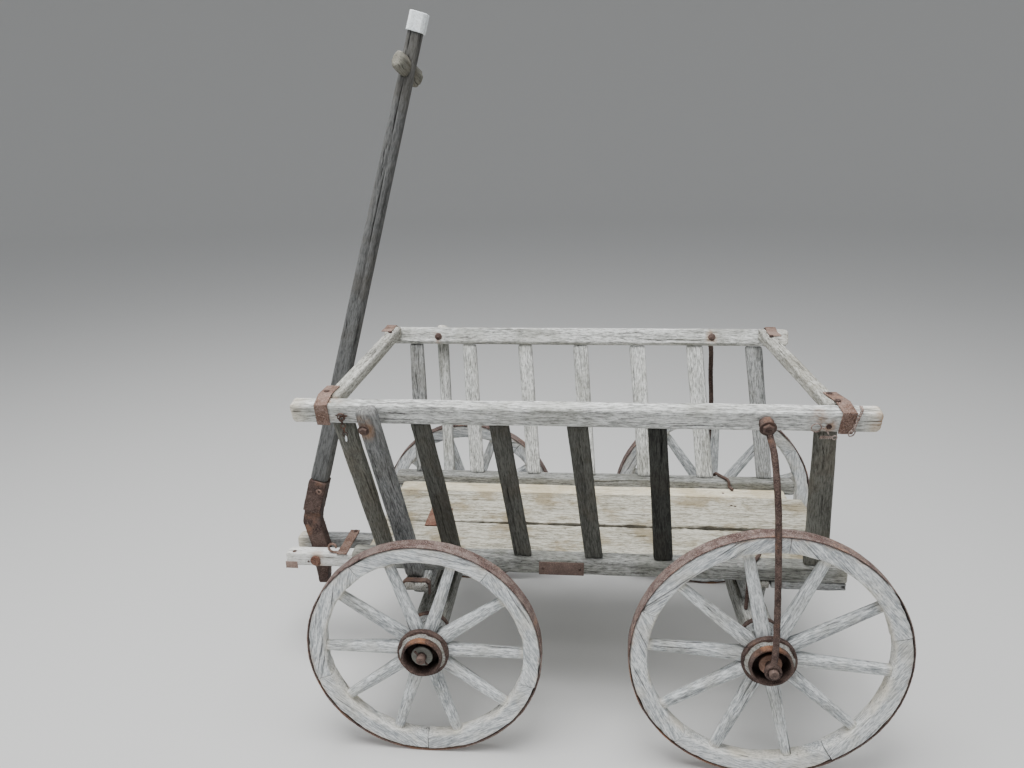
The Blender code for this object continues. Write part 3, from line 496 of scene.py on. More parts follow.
# name: base, dark, orange, pale, share of orange, metallic, slot
rusts = {
    "tyreRust": ((0.140, 0.086, 0.074), (0.036, 0.021, 0.018), (0.42, 0.19, 0.08),
                 (0.50, 0.41, 0.37), 0.4, 0.1, "rusty_iron"),
    "forgedRust": ((0.066, 0.040, 0.034), (0.017, 0.011, 0.009), (0.36, 0.16, 0.075),
                   (0.22, 0.155, 0.13), 0.3, 0.1, "rusty_iron"),
    "strapRust": ((0.20, 0.120, 0.090), (0.055, 0.030, 0.022), (0.38, 0.18, 0.09),
                  (0.42, 0.32, 0.275), 0.45, 0.1, "rusty_iron"),
    "brightRust": ((0.17, 0.072, 0.048), (0.045, 0.020, 0.015), (0.45, 0.19, 0.08),
                   (0.36, 0.24, 0.18), 0.5, 0.1, "rusty_iron"),
    "deepRust": ((0.055, 0.032, 0.027), (0.016, 0.010, 0.009), (0.22, 0.09, 0.045),
                 (0.17, 0.12, 0.10), 0.5, 0.1, "rusty_iron"),
    "wireRust": ((0.34, 0.25, 0.21), (0.09, 0.055, 0.045), (0.40, 0.20, 0.11),
                 (0.66, 0.58, 0.54), 0.4, 0.1, "rusty_iron"),
    "greySteel": ((0.13, 0.132, 0.115), (0.045, 0.042, 0.035), (0.34, 0.19, 0.10),
                  (0.27, 0.27, 0.245), 0.5, 0.2, "rusty_iron"),
    "zinc": ((0.84, 0.90, 0.92), (0.60, 0.63, 0.64), (0.60, 0.58, 0.53),
             (0.88, 0.92, 0.93), 0.2, 0.1, "white_metal"),
}
finishes, slots = {}, {}
for make, table in ((makeWood, woods), (makeIron, rusts)):
    for name, (*colours, slot) in table.items():
        finishes[name], slots[name] = make(name, *colours), slot
print("finishes made:", len(finishes))


# Timber: each beam is remeshed from its own solid, with the grid along the grain, then worn and checked

sillMiddle = sum(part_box("sill_far"), Vector()) / 2
railMiddle = sum(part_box("rail_far"), Vector()) / 2
ladderLean = math.atan2(railMiddle.y - sillMiddle.y, railMiddle.z - sillMiddle.z)


def ladderNormal(side):
    return Vector((0, side * math.cos(ladderLean), -math.sin(ladderLean)))


def slopeOf(node):
    # from the middle of a slat's foot to the middle of its head
    places = readVectors(nodes[node].data, "co")
    middle = (places[:, 2].min() + places[:, 2].max()) / 2
    low, high = places[places[:, 2] < middle], places[places[:, 2] > middle]
    return (Vector(high.mean(0)) - Vector(low.mean(0))).normalized()


def sideOf(node):
    return -1 if "near" in node else 1


def beamAxes(node, grain):
    along, thick = Vector((1, 0, 0)), upwards
    if grain == "slat":
        along, thick = slopeOf(node), ladderNormal(sideOf(node))
    elif grain == "rail":
        thick = ladderNormal(sideOf(node))
    elif grain == "pole":
        along, thick = Vector((math.sin(poleLean), 0, math.cos(poleLean))), Vector((0, 1, 0))
    elif grain == "across":
        along = Vector((0, 1, 0))
    wide = thick.cross(along).normalized()
    return Matrix((along, wide, along.cross(wide).normalized()))


poleLean = math.radians(16.2)
gridStretch = 3.0      # cells are longer along the grain
wear = dict(ridge=0.0006, wave=0.0018, edge=0.0024, cornerReach=0.006, endNarrow=0.34, tintReach=0.045,
            checkDepth=0.0032, checkRun=(0.03, 0.12))

# long splits in the face towards the camera: start and end below the top, place across at each
splits = {"drawbar_pole": ((0.560, 0.074, 0.0022, -0.0012), (0.074, 0.020, -0.0065, -0.0060))}


def wander(along, seed):
    # a smooth drift along one axis
    return lumps(np.c_[along, np.zeros(len(along)), np.zeros(len(along))], seed)


def splitFace(local, normals, length, split, cell):
    start, end, low, high = length / 2 - split[0], length / 2 - split[1], split[2], split[3]
    share = clamp((local[:, 0] - start) / (end - start))
    drift = (wander(local[:, 0] * 24, 51) - 0.5) * 0.0012
    apart = np.abs(local[:, 1] - low - (high - low) * share - drift)
    taper = clamp(np.minimum(local[:, 0] - start, end - local[:, 0]) / 0.02)
    return clamp(1 - apart / cell) * taper * clamp(-normals[:, 2]) * wear["checkDepth"]


def wearBeam(piece, seed, cell, checkCount, endRound, endTint, ownSplits):
    # works in the beam's own frame: X along the grain, Y across its width, Z through it
    places, normals = surfaceOf(piece)
    draw = np.random.default_rng(seed)
    length, width, depth = places.max(0) - places.min(0)
    middle = (places.max(0) + places.min(0)) / 2
    local = places - middle
    toEnd = np.abs(local[:, 0]) - length / 2
    # ends worn round
    if endRound:
        share = clamp((toEnd + endRound) / endRound)
        narrow = 1 - wear["endNarrow"] * (1 - np.sqrt(clamp(1 - share ** 2)))
        places[:, 1:] = middle[1:] + local[:, 1:] * narrow[:, None]
    rough = (lumps(local * (7, 210, 210), seed) - 0.5) * wear["ridge"] * 2
    rough += (lumps(local * (5, 26, 26) + 7, seed + 1) - 0.5) * wear["wave"]
    places = places + normals * rough[:, None]
    # arrises are knocked back here and there
    reach = wear["cornerReach"]
    at = clamp((np.abs(local) - np.array((length, width, depth)) / 2 + reach) / reach)
    corner = np.minimum(1, at[:, 1] * at[:, 2] + at[:, 0] * np.maximum(at[:, 1], at[:, 2]))
    bite = 0.25 + clamp(lumps(local * (22, 60, 60) + 3, seed + 2) - 0.4) * 1.6
    places = places - normals * (corner * bite * wear["edge"])[:, None]
    # checks open along the grain, deepest at the middle of their run
    for _ in range(checkCount):
        onWide = draw.random() < (width / (width + depth)) ** 0.5
        sign = 1 if draw.random() < 0.6 else -1
        across, normalAxis, span = (1, 2, width) if onWide else (2, 1, depth)
        centre = (draw.random() - 0.5) * 0.6 * span
        start = (draw.random() - 0.5) * length * 0.8
        run = min(length * 0.4, draw.uniform(*wear["checkRun"]))
        if draw.random() < 0.4:
            start = math.copysign(length / 2, start)
        share = clamp(1 - np.abs(local[:, 0] - start) / run)
        drift = (lumps(np.c_[local[:, 0] * 30, local[:, 0] * 0 + 5, local[:, 0] * 0], seed + 9) - 0.5) * 0.006
        hole = clamp(1 - np.abs(local[:, across] - centre - drift) / cell) * np.sqrt(share)
        facing = clamp(sign * normals[:, normalAxis])
        places[:, normalAxis] -= sign * hole * facing * wear["checkDepth"]
    for split in ownSplits:
        places[:, 2] += splitFace(local, normals, length, split, cell)
    writePlaces(piece.data, places)
    writeAttribute(piece.data, "grain", local + draw.uniform(-3, 3, 3))
    tint = clamp((toEnd + wear["tintReach"]) / wear["tintReach"]) ** 1.5 * endTint
    writeAttribute(piece.data, "wornEnd", tint)


seam = dict(y=-0.030, reach=0.014, least=0.0014, most=0.0100, drop=0.0050, shade=0.0075, above=0.340)


def openSeam(piece, side):
    # the two near boards have shrunk apart along a ragged line; gives the painted shade in the gap
    places = readVectors(piece.data, "co")
    along = places[:, 0] * 26
    ragged = clamp(wander(along, 41) * 0.7 + wander(along * 5.3, 42) * 0.5 - 0.2)
    ragged *= np.clip((places[:, 0] + 0.36) / 0.35, 0.12, 1)
    share = clamp(1 - np.abs(places[:, 1] - seam["y"]) / seam["reach"])
    places[:, 1] += side * share ** 2 * (seam["least"] + seam["most"] * ragged)
    places[:, 2] -= share ** 3 * seam["drop"] * ragged * (places[:, 2] > seam["above"])
    writePlaces(piece.data, places)
    steep = seam["reach"] / seam["shade"]
    return clamp(share * steep + 1 - steep) * (0.3 + ragged)


def writeRust(mesh):
    places = readVectors(mesh, "co")
    rust = np.zeros(len(places))
    for place, reach in rustSpots:
        gap = (places - np.array(place)) * (1, 1, 0.7)
        rust = np.maximum(rust, clamp(1 - np.sqrt((gap ** 2).sum(1)) / reach))
    writeAttribute(mesh, "rustRun", rust ** 0.8)


def cutEnds(piece, span):
    # trims a piece square at both sides
    startEditing(piece)
    for side in (-1, 1):
        selectMesh()
        bpy.ops.mesh.bisect(plane_co=(0, side * span, 0), plane_no=(0, side, 0), use_fill=True,
                            clear_outer=True)
    stopEditing()


bedSpans = {"axle_front": 0.241, "axle_rear": 0.255}      # wooden beds, inside their spindles


def agedBeam(node, finish, grain, cell, checkCount, endRound, endTint, seed):
    toOwn = beamAxes(node, grain).to_4x4()
    squeeze = Matrix.Diagonal((1 / gridStretch, 1, 1, 1))
    piece = solidCopy(node, "_worn")
    if node in bedSpans:
        cutEnds(piece, bedSpans[node])
    piece.data.transform(squeeze @ toOwn)
    remesh(piece, cell, 3)
    piece.data.transform(squeeze.inverted())
    wearBeam(piece, seed, cell, checkCount, endRound, endTint, splits.get(node, ()))
    piece.data.transform(toOwn.inverted())
    writeRust(piece.data)
    writeHollows(piece.data, cell)
    if node in ("floor_board_near", "floor_board_middle"):
        # painted shade in the open seam, added to the hollow values
        darken(piece.data, openSeam(piece, sideOf(node)))
    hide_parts(node)
    finishAs(piece, node + "_worn", finish, nodes[node]["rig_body"], 80)


# how a node's name starts: finish, grain, cell, checks, end rounding, end tint; the longest start counts
beamRows = {
    "rail_near": ("silver", "rail", 0.0020, 7, 0.010, 0.9),
    "rail_far": ("silver", "rail", 0.0022, 5, 0.010, 0.5),
    "sill_near": ("sill", "along", 0.0022, 12, 0.0, 0.2), "sill_far": ("sill", "along", 0.0022, 12, 0.0, 0.1),
    "floor_board_": ("deck", "along", 0.0026, 8, 0.0, 0.3),
    "floor_board_far": ("cream", "along", 0.0024, 4, 0.0, 0.0),
    "crossbar_": ("dun", "across", 0.0020, 5, 0.0, 0.0),
    "stake_near": ("smoke", "slat", 0.0020, 5, 0.012, 0.05),
    "stake_far": ("silver", "slat", 0.0020, 3, 0.010, 0.3),
    "arm_near": ("lime", "along", 0.0020, 4, 0.006, 0.2), "arm_far": ("ash", "along", 0.0020, 7, 0.012, 0.9),
    "bolster_": ("ash", "across", 0.0022, 6, 0.0, 0.2),
    "bolster_lower": ("sill", "across", 0.0024, 4, 0.0, 0.0),
    "axle_": ("sill", "across", 0.0022, 6, 0.0, 0.1), "reach_pole": ("sill", "along", 0.0026, 5, 0.0, 0.0),
    "drawbar_pole": ("pole", "pole", 0.0018, 6, 0.0, 0.0),
    "hand_peg": ("drab", "slat", 0.0016, 3, 0.008, 0.1),
}
for start, finish in (("near_", "damp"), ("near_1", "drab"), ("near_5", "dusk"), ("near_7", "drab"),
                      ("far_", "silver"), ("far_1", "ash"), ("far_7", "ash")):
    beamRows["rung_" + start] = (finish, "slat", 0.0019, 3, 0.0, 0.0)
beams = {}
for node in sorted(nodes):
    starts = [start for start in beamRows if node.startswith(start)]
    if starts:
        beams[node] = beamRows[max(starts, key=len)]

rail = dict(offset=0.2847, height=0.691, halfThick=0.0145)


def railCentre(side):
    return Vector((0, side * rail["offset"], rail["height"]))


def topOf(node):
    return Vector((0, 0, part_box(node)[1].z))


def nearOf(node):
    return Vector((0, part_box(node)[0].y, 0))


# faces that carry fittings, and where the fittings show in the photograph
nearOut, farIn = ladderNormal(-1), -ladderNormal(1)
nearRail, farRail = railCentre(-1) + nearOut * rail["halfThick"], railCentre(1) + farIn * rail["halfThick"]
stakeFace, stakeNormal = Vector((0, -0.3313, 0.6999)), Vector((0, -0.9715, -0.2372))
stakeBolt = seenAt(363.9, 429.8, stakeFace, stakeNormal)
farBolts = [seenAt(px, py, farRail, farIn) for px, py in ((438.4, 336.4), (711.8, 337.0))]
railNail = seenAt(828.9, 426.3, nearRail, nearOut)
ringPlace = seenAt(816, 427, nearRail, nearOut)
armTop, armFace = topOf("arm_near"), nearOf("arm_near")
armBolt = seenAt(316.6, 562.5, armFace, towards)

# rust has run into the wood round these fittings: place and reach
rustSpots = [(stakeBolt, 0.022), (railNail, 0.016), (ringPlace + Vector((0.004, 0, 0.008)), 0.020),
             (armBolt, 0.024), *((place, 0.016) for place in farBolts), ((0.536, -0.290, 0.694), 0.026),
             ((-0.405, -0.292, 0.705), 0.022), ((-0.450, -0.2847, 0.712), 0.012)]

for number, (node, row) in enumerate(beams.items()):
    agedBeam(node, *row, number * 17 + 3)
print("timber worn:", len(beams), "pieces")


# Irons: remeshed the same way, with a pitted face

def agedIron(node, finish, cell, pitting):
    piece = solidCopy(node, "_rusted")
    remesh(piece, cell, 4)
    places, normals = surfaceOf(piece)
    bumps = (lumps(places * 240, 5) - 0.5) + (lumps(places * 90, 6) - 0.5)
    push(piece, places, normals, bumps * pitting)
    writeHollows(piece.data, cell)
    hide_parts(node)
    finishAs(piece, node + "_rusted", finish, nodes[node]["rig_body"], 60)


# how a node's name starts: finish, cell, pitting
irons = {
    "stay_": ("forgedRust", 0.0014, 0.0005), "brace_": ("forgedRust", 0.0011, 0.0003),
    "strap_": ("strapRust", 0.0008, 0.0003), "keeper_bar": ("strapRust", 0.0009, 0.0003),
    "drawbar_iron": ("forgedRust", 0.0015, 0.0006), "drawbar_bolt": ("brightRust", 0.0011, 0.0003),
    "king_pin": ("brightRust", 0.0014, 0.0004), "drawbar_cap": ("zinc", 0.0010, 0.0002),
}
for prefix, (finish, cell, pitting) in irons.items():
    for node in [name for name in sorted(nodes) if name.startswith(prefix)]:
        agedIron(node, finish, cell, pitting)
print("irons rusted")


# Wheels

wheel = dict(spokeCount=10, felloeCount=5, felloeDepth=0.032, jointGap=0.0009, barrel=0.045, innerReach=0.052,
             noseReach=0.0145, noseExtra=0.003, noseRadius=0.0385, noseWall=0.0055, boreDepth=0.0345,
             dish=0.004)
spokeTurns = {"front_near": 0.0, "front_far": -2.2, "rear_near": -4.5, "rear_far": -18.6}
jointTurns = {"front_near": 0.0, "front_far": -2.2, "rear_near": 31.8, "rear_far": -18.6}


def wheelFacts(name):
    tyreLow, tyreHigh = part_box("tyre_" + name)
    felloeLow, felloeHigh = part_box("felloes_" + name)
    centre = (tyreLow + tyreHigh) / 2
    return dict(name=name, body="wheel_" + name, side=sideOf(name), centre=centre, radius=centre.z,
                half=(tyreHigh.y - tyreLow.y) / 2, wood=(felloeHigh.z - felloeLow.z) / 2)


def writeGrain(piece, along, wide, centre, offset):
    # straight grain in one direction over a whole piece
    places = readVectors(piece.data, "co") - np.array(centre)
    axes = np.array((along, wide, Vector(along).cross(Vector(wide))))
    local = places @ axes.T
    writeAttribute(piece.data, "grain", local + offset)
    return local


felloe = dict(clear=0.0002, shy=0.0006, chamfer=0.0042, arris=0.0012, rim=0.0016, steps=56,
              unevenInside=0.0016, unevenFace=0.0007, slant=0.22, fibre=0.0009, wave=0.0018, bite=0.009,
              outerReach=0.004, innerReach=0.006)


def radiiOf(places, centre):
    return np.hypot(places[:, 0] - centre.x, places[:, 2] - centre.z)


def makeFelloes(facts, draw):
    # five sawn segments, each straight in the grain, worn uneven on the inside
    name, centre = facts["name"], facts["centre"]
    outer, half = facts["wood"] - felloe["clear"], facts["half"] - felloe["shy"]
    chamfer, rim = felloe["chamfer"], felloe["rim"]
    step, gap = fullTurn / wheel["felloeCount"], wheel["jointGap"] / outer
    pieces = []
    for k in range(wheel["felloeCount"]):
        inner = outer - wheel["felloeDepth"] + draw.uniform(0.0, felloe["unevenInside"])
        faces = half - draw.uniform(0.0, felloe["unevenFace"])
        front = [(inner, faces - chamfer), (inner + chamfer * 0.3, faces - felloe["arris"])]
        front += [(inner + chamfer + (outer - inner - chamfer) * j / 8, faces) for j in range(8)]
        front += [(outer - rim, faces), (outer, faces - rim)]
        back = [(r, -along) for r, along in reversed(front)]
        start = math.radians(jointTurns[name]) + k * step + gap / 2
        profile = [back[-1], (inner, 0)] + front + back[:-1]
        segment = turned(profile, centre, towards, felloe["steps"], step - gap, start)
        places, normals = surfaceOf(segment)
        middle = Vector(places.mean(0)) - centre
        middle = Vector((middle.x, 0, middle.z)).normalized()
        across = towards.cross(middle)
        slant = Matrix.Rotation(draw.uniform(-felloe["slant"], felloe["slant"]), 3, (0, 1, 0))
        local = writeGrain(segment, slant @ across, slant @ middle, centre, draw.uniform(-3, 3, 3))
        rough = (lumps(local * (9, 190, 190), 3) - 0.5) * felloe["fibre"]
        rough += (lumps(local * (6, 30, 30), 4) - 0.5) * felloe["wave"]
        bites = clamp(lumps(places * 46, 7 + k) - 0.66) * felloe["bite"]
        radii = radiiOf(places, centre)
        edges = clamp(clamp(1 - np.abs(radii - outer) / felloe["outerReach"])
                      + clamp(1 - np.abs(radii - inner) / felloe["innerReach"]))
        places = push(segment, places, normals, rough - 0.0005 - bites * edges)
        writeAttribute(segment.data, "wornEnd", edges * clamp(lumps(places * 30, 5) - 0.25) * 1.1)
        atJoint = clamp(1 - np.abs(local[:, 0] - local[:, 0].min()) / 0.02)
        rust = clamp(1 - (outer - radii) / 0.006) * clamp(lumps(places * 55, 6) - 0.5) * 1.6
        writeAttribute(segment.data, "rustRun", rust + atJoint * 0.05)
        writeHollows(segment.data, 0.004)
        pieces.append(segment)
    piece = join(pieces)
    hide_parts("felloes_" + name)
    finishAs(piece, "felloes_" + name + "_worn", "felloe", facts["body"], 50)


def makeTyre(facts):
    centre, half = facts["centre"], facts["half"]
    outer, inner, edge = facts["radius"], facts["wood"] + felloe["clear"], 0.0013
    lip = [(inner, half), (outer - edge, half), (outer - edge * 0.3, half - edge * 0.3), (outer, half - edge)]
    tread = [(outer, -half + edge + (2 * half - 2 * edge) * k / 7) for k in range(1, 7)]
    piece = turned([(r, -along) for r, along in lip] + tread + lip[::-1], centre, towards, 300)
    places, normals = surfaceOf(piece)
    pitting = (lumps(places * 170, 8) - 0.5) * 0.0006 + (lumps(places * 60, 9) - 0.5) * 0.0008
    push(piece, places, normals, pitting - 0.0006)
    local = (places - np.array(centre)) / outer
    lowFront = clamp(-local[:, 0] * 0.6 - local[:, 2] * 0.9 - 0.45) * 1.8
    lowFront = np.maximum(lowFront, clamp(lumps(places * 14, 31) - 0.74) * 3)
    edges = np.clip((np.abs(places[:, 1] - centre.y) - half + 0.006) / 0.005, 0.25, 1)
    writeAttribute(piece.data, "freshRust", clamp(lowFront) * edges * clamp(lumps(places * 38, 32) * 2 - 0.6))
    writeHollows(piece.data, 0.005)
    # painted shade: the iron is darkened where it meets the wood
    darken(piece.data, clamp((inner + 0.0022 - radiiOf(places, centre)) / 0.0012) * 0.8)
    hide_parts("tyre_" + facts["name"])
    finishAs(piece, "tyre_" + facts["name"] + "_rusted", "tyreRust", facts["body"], 50)


spoke = dict(rootWidth=0.024, neckWidth=0.028, tipWidth=0.0195, rootThick=0.021, tipThick=0.0165,
             neckRise=0.016, cuts=44, square=0.72)


def makeSpokes(facts, draw):
    root = wheel["barrel"] - 0.006
    length = facts["wood"] - wheel["felloeDepth"] + 0.0004 - root
    bpy.ops.mesh.primitive_cylinder_add(vertices=24, radius=0.5, depth=1.0, end_fill_type="NGON")
    blank = bpy.context.object
    startEditing(blank)
    for cut in range(1, spoke["cuts"]):
        selectMesh()
        bpy.ops.mesh.bisect(plane_co=(0, 0, -0.5 + cut / spoke["cuts"]), plane_no=(0, 0, 1))
    stopEditing()
    pieces = []
    for k in range(wheel["spokeCount"]):
        piece = addObject("spoke", blank.data.copy())
        places = readVectors(piece.data, "co")
        share = places[:, 2] + 0.5
        run = share * length
        rise = clamp(run / spoke["neckRise"])
        taper = clamp((run - spoke["neckRise"]) / (length - spoke["neckRise"]))
        width = spoke["rootWidth"] + (spoke["neckWidth"] - spoke["rootWidth"]) * np.sin(rise * math.pi / 2)
        width = (width + (spoke["tipWidth"] - spoke["neckWidth"]) * taper ** 0.7) * draw.uniform(0.95, 1.05)
        thick = spoke["rootThick"] + (spoke["tipThick"] - spoke["rootThick"]) * share
        seed = int(draw.integers(1000))
        own = np.c_[run, places[:, 0] * width, places[:, 1] * thick]
        # a shaved section between an oval and a bevelled bar
        for column, size in ((1, width), (2, thick)):
            place = own[:, column] / (size / 2)
            own[:, column] = np.sign(place) * np.abs(place) ** spoke["square"] * size / 2
        rough = (lumps(own * (16, 230, 230), seed) - 0.5) * 0.07
        rough += (lumps(own * (14, 60, 60), seed + 1) - 0.5) * 0.12
        own[:, 1:] *= (1 + rough)[:, None]
        angle = fullTurn * (k + 0.5) / wheel["spokeCount"] + math.radians(spokeTurns[facts["name"]])
        # a spoke points straight down at zero and turns towards the cart's tail
        outwards = np.array(Vector((math.sin(angle), 0, -math.cos(angle))))
        sideways = np.array((math.cos(angle), 0, math.sin(angle)))
        places = np.array(facts["centre"]) + outwards * (root + own[:, :1]) + sideways * own[:, 1:2]
        places[:, 1] += own[:, 2] - facts["side"] * wheel["dish"] * (1 - share)
        writePlaces(piece.data, places)
        writeAttribute(piece.data, "grain", own + draw.uniform(-3, 3, 3))
        writeAttribute(piece.data, "wornEnd", clamp(share - 0.94) * 8)
        startEditing(piece)
        bpy.ops.mesh.normals_make_consistent(inside=False)
        stopEditing()
        writeHollows(piece.data, 0.004)
        pieces.append(piece)
    activate(blank)
    bpy.ops.object.delete()
    return pieces


def naveReaches(facts):
    nose = facts["half"] + wheel["noseReach"] + wheel["noseExtra"]
    return nose, -facts["half"] - wheel["innerReach"]


bands = dict(start=0.0065, width=0.0105, noseWidth=0.0125, proud=0.0040)
hub = dict(bore=0.0126, lining=0.0125, socket=0.0355, back=0.034, steps=72)


def makeNave(facts, draw):
    barrel, ring, bore = wheel["barrel"], wheel["noseRadius"], hub["bore"]
    nose, inner = naveReaches(facts)
    shoulder, back, floor = bands["start"] + bands["width"], nose - bands["noseWidth"], nose - hub["socket"]
    profile = [(bore, inner), (hub["back"], inner), (0.036, inner + 0.002), (0.0385, inner + 0.016),
               (0.0425, -0.026), (barrel - 0.001, -0.020), (barrel, -0.010), (barrel, bands["start"] + 0.002),
               (barrel, shoulder)]
    # the wood slopes from one hoop to the other
    profile += [(barrel + (ring - barrel) * share, shoulder + (back - shoulder) * share)
                for share in (0.25, 0.5, 0.75, 0.97)]
    profile += [(ring - 0.0022, back + 0.0005), (ring - 0.0038, nose - 0.003), (ring - 0.0044, nose - 0.0035),
                (ring - 0.0044, floor), (bore, floor)]
    wood = turned(profile, facts["centre"], (0, facts["side"], 0), hub["steps"])
    local = writeGrain(wood, (0, 1, 0), (1, 0, 0), facts["centre"], draw.uniform(-3, 3, 3))
    places, normals = surfaceOf(wood)
    outside = clamp((np.hypot(local[:, 1], local[:, 2]) - ring) / 0.003)
    worn = clamp(lumps(places * 75, 12) - 0.45) * 0.004 + lumps(places * 300, 13) * 0.0006
    push(wood, places, normals, -worn * outside)
    tint = clamp(1 - np.abs(local[:, 0] * facts["side"] - 0.026) / 0.02) * 0.25
    writeAttribute(wood.data, "wornEnd", tint)
    writeHollows(wood.data, 0.006)
    return wood


def makeBands(facts):
    # iron hoops on the nave: shoulder, nose with its lined bore, and inner end
    ring, lining = wheel["noseRadius"], hub["lining"]
    under, high = wheel["barrel"] - 0.003, wheel["barrel"] + bands["proud"]
    nose, inner = naveReaches(facts)
    start, floor = bands["start"], nose - wheel["boreDepth"]
    end, back = start + bands["width"], nose - bands["noseWidth"]
    wall = ring - wheel["noseWall"] + 0.0008
    pieces = []
    for profile in (
        [(under, start), (high - 0.0008, start), (high, start + 0.001), (high - 0.0002, end - 0.001),
         (high - 0.0010, end), (under, end)],
        [(ring - 0.0035, back), (ring - 0.0006, back), (ring, back + 0.001), (ring - 0.0002, nose - 0.001),
         (ring - 0.0010, nose), (wall + 0.0008, nose), (wall, nose - 0.001), (wall, floor), (lining, floor),
         (lining, floor - 0.0008), (wall + 0.0007, floor - 0.0008), (wall + 0.0007, back)],
        [(0.0350, inner + 0.0005), (0.0385, inner + 0.0005), (0.0392, inner + 0.002), (0.0408, inner + 0.013),
         (0.0400, inner + 0.014), (0.0350, inner + 0.014)],
    ):
        pieces.append(turned(profile, facts["centre"], (0, facts["side"], 0), hub["steps"]))
    piece = join(pieces)
    places, normals = surfaceOf(piece)
    push(piece, places, normals, (lumps(places * 170, 4) - 0.5) * 0.0008)
    places = readVectors(piece.data, "co") - np.array(facts["centre"])
    ahead, radii = places[:, 1] * facts["side"], np.hypot(places[:, 0], places[:, 2])
    fresh = clamp((ahead - back + 0.002) / 0.003) * clamp(places[:, 2] / ring * 2 - 1.1)
    writeAttribute(piece.data, "freshRust", fresh * clamp(lumps(places * 110, 17) * 1.8 - 0.35))
    writeHollows(piece.data, 0.004)
    # painted shade on the walls inside the nose band's bore
    darken(piece.data, clamp((nose - 0.001 - ahead) / 0.006) * (radii < wall + 0.0004) * (ahead > 0))
    finishAs(piece, "nave_bands_" + facts["name"], "forgedRust", facts["body"], 40)


# Small irons and other trim, kept by body and finish until they are joined

trim = {}


def keep(body, finish, *pieces):
    trim.setdefault((body, finish), []).extend(pieces)


def boltHead(place, normal, radius, height, sides):
    # a worn head or nut seated on a face
    crown = [(radius * share, height * rise) for share, rise in
             ((1, 0.15), (1, 0.55), (0.82, 0.88), (0.45, 1), (0, 1.02))]
    return turned([(radius * 0.97, -0.0008)] + crown, place, normal, sides, closed=False)


def washerAt(place, normal, radius, hole, height):
    ring = [(hole, -0.0008), (radius - 0.0004, -0.0008), (radius, 0.0004), (radius - 0.0006, height),
            (hole, height)]
    return turned(ring, place, normal, 28)


spindle = dict(radius=0.0120, collar=0.018, washer=0.0205, tip=0.0088, boss=0.0150, washerBack=0.0115)


def makeSpindle(facts):
    # iron axle end: collar by the bed, washer in the open bore, tip and linchpin
    axleName = "axle_" + facts["name"].split("_")[0]
    body, side, centre = nodes[axleName]["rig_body"], facts["side"], facts["centre"]
    bed = bedSpans[axleName]
    noseEnd = abs(centre.y) + naveReaches(facts)[0]
    washer, front = noseEnd - wheel["boreDepth"] + 0.0009, noseEnd - spindle["washerBack"]
    end = abs(side * (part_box(axleName)[1].y - 0.0004))
    r, collar, tip, boss = (spindle[key] for key in ("radius", "collar", "tip", "boss"))
    base = Vector((centre.x, 0, centre.z))
    profile = [(0.0, bed - 0.004), (collar, bed - 0.004), (collar, bed + 0.0082), (r, bed + 0.0084),
               (r, washer), (boss, washer), (boss, front), (tip + 0.001, front + 0.0002),
               (tip, front + 0.001), (tip, end - 0.0022), (tip - 0.0018, end), (0.0, end + 0.0002)]
    bar = turned(profile, base, (0, side, 0), 36, closed=False)
    places, normals = surfaceOf(bar)
    push(bar, places, normals, (lumps(places * 260, 14) - 0.7) * 0.0007)
    keep(body, "forgedRust", bar)
    isFront = body == "front_carriage"
    keep(body, "greySteel" if isFront else "brightRust",
         washerAt(base + Vector((0, side * front, 0)), (0, side, 0), spindle["washer"], 0.0092, 0.0026))
    if isFront:
        spot, lean = base + Vector((0, side * (front + 0.0085), 0)), Vector((-0.62, 0, 0.78))
        keep(body, "deepRust", rod([spot - lean * 0.017, spot, spot + lean * 0.019], 0.0021, smooth=False))


for number, name in enumerate(spokeTurns):
    facts = wheelFacts(name)
    draw = np.random.default_rng(number + 11)
    makeTyre(facts)
    makeFelloes(facts, draw)
    spokes = join(makeSpokes(facts, draw))
    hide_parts("nave_spokes_" + name)
    finishAs(spokes, "spokes_" + name + "_worn", "spoke", facts["body"], 45)
    nave = makeNave(facts, draw)
    finishAs(nave, "nave_" + name + "_worn", "ash", facts["body"], 45)
    makeBands(facts)
    makeSpindle(facts)
print("wheels built")


# Fittings on the body and the carriage

def keepBolt(body, finish, place, normal, washer, hole, plate, radius, height, sides, gap=0.0):
    # a washer with a nut or head on it
    keep(body, finish, washerAt(place, normal, washer, hole, plate),
         boltHead(place + Vector(normal) * gap, normal, radius, height, sides))


# old nails and heads: body, a point of the face, its normal, radius, height, sides, pixels across and down
heads = [
    ("cart_body", topOf("strap_front_near"), upwards, 0.0052, 0.0024, 10,
     ((326.8, 391.4), (829.3, 393.6), (837.9, 400.7), (771.3, 336.1), (390.2, 332.0))),
    ("cart_body", Vector((0, 0, 0.3470)), upwards, 0.0030, 0.0008, 10,
     ((723.0, 493.2), (731.4, 505.7), (735.0, 506.5), (447.0, 505.0), (587.0, 497.0), (668.0, 521.0))),
    ("front_carriage", armTop, upwards, 0.0050, 0.0018, 10, ((294.8, 551.3),)),
    ("front_carriage", armFace, towards, 0.0030, 0.0003, 12, ((308.6, 561.4),)),
    ("front_carriage", topOf("keeper_bar"), upwards, 0.0044, 0.0024, 10, ((355.9, 531.0),)),
]
# iron patches: body, finish, a point of the face, two corners in pixels, thickness, how far out, bevel
patches = [
    ("cart_body", "forgedRust", nearOf("sill_near"), (539, 574), (584, 563), 0.0022, 0.0006, 0.0006),
    ("front_carriage", "strapRust", armFace, (286.5, 567.5), (297.5, 561.5), 0.0020, 0.0004, 0.0005),
]
tails = dict(width=0.024, thick=0.0024, ends=((0.472, 0.190, 0.236), (-0.430, 0.212, 0.236)))
stayNut = dict(x=0.345, radius=0.0105, height=0.007, washer=0.0150)


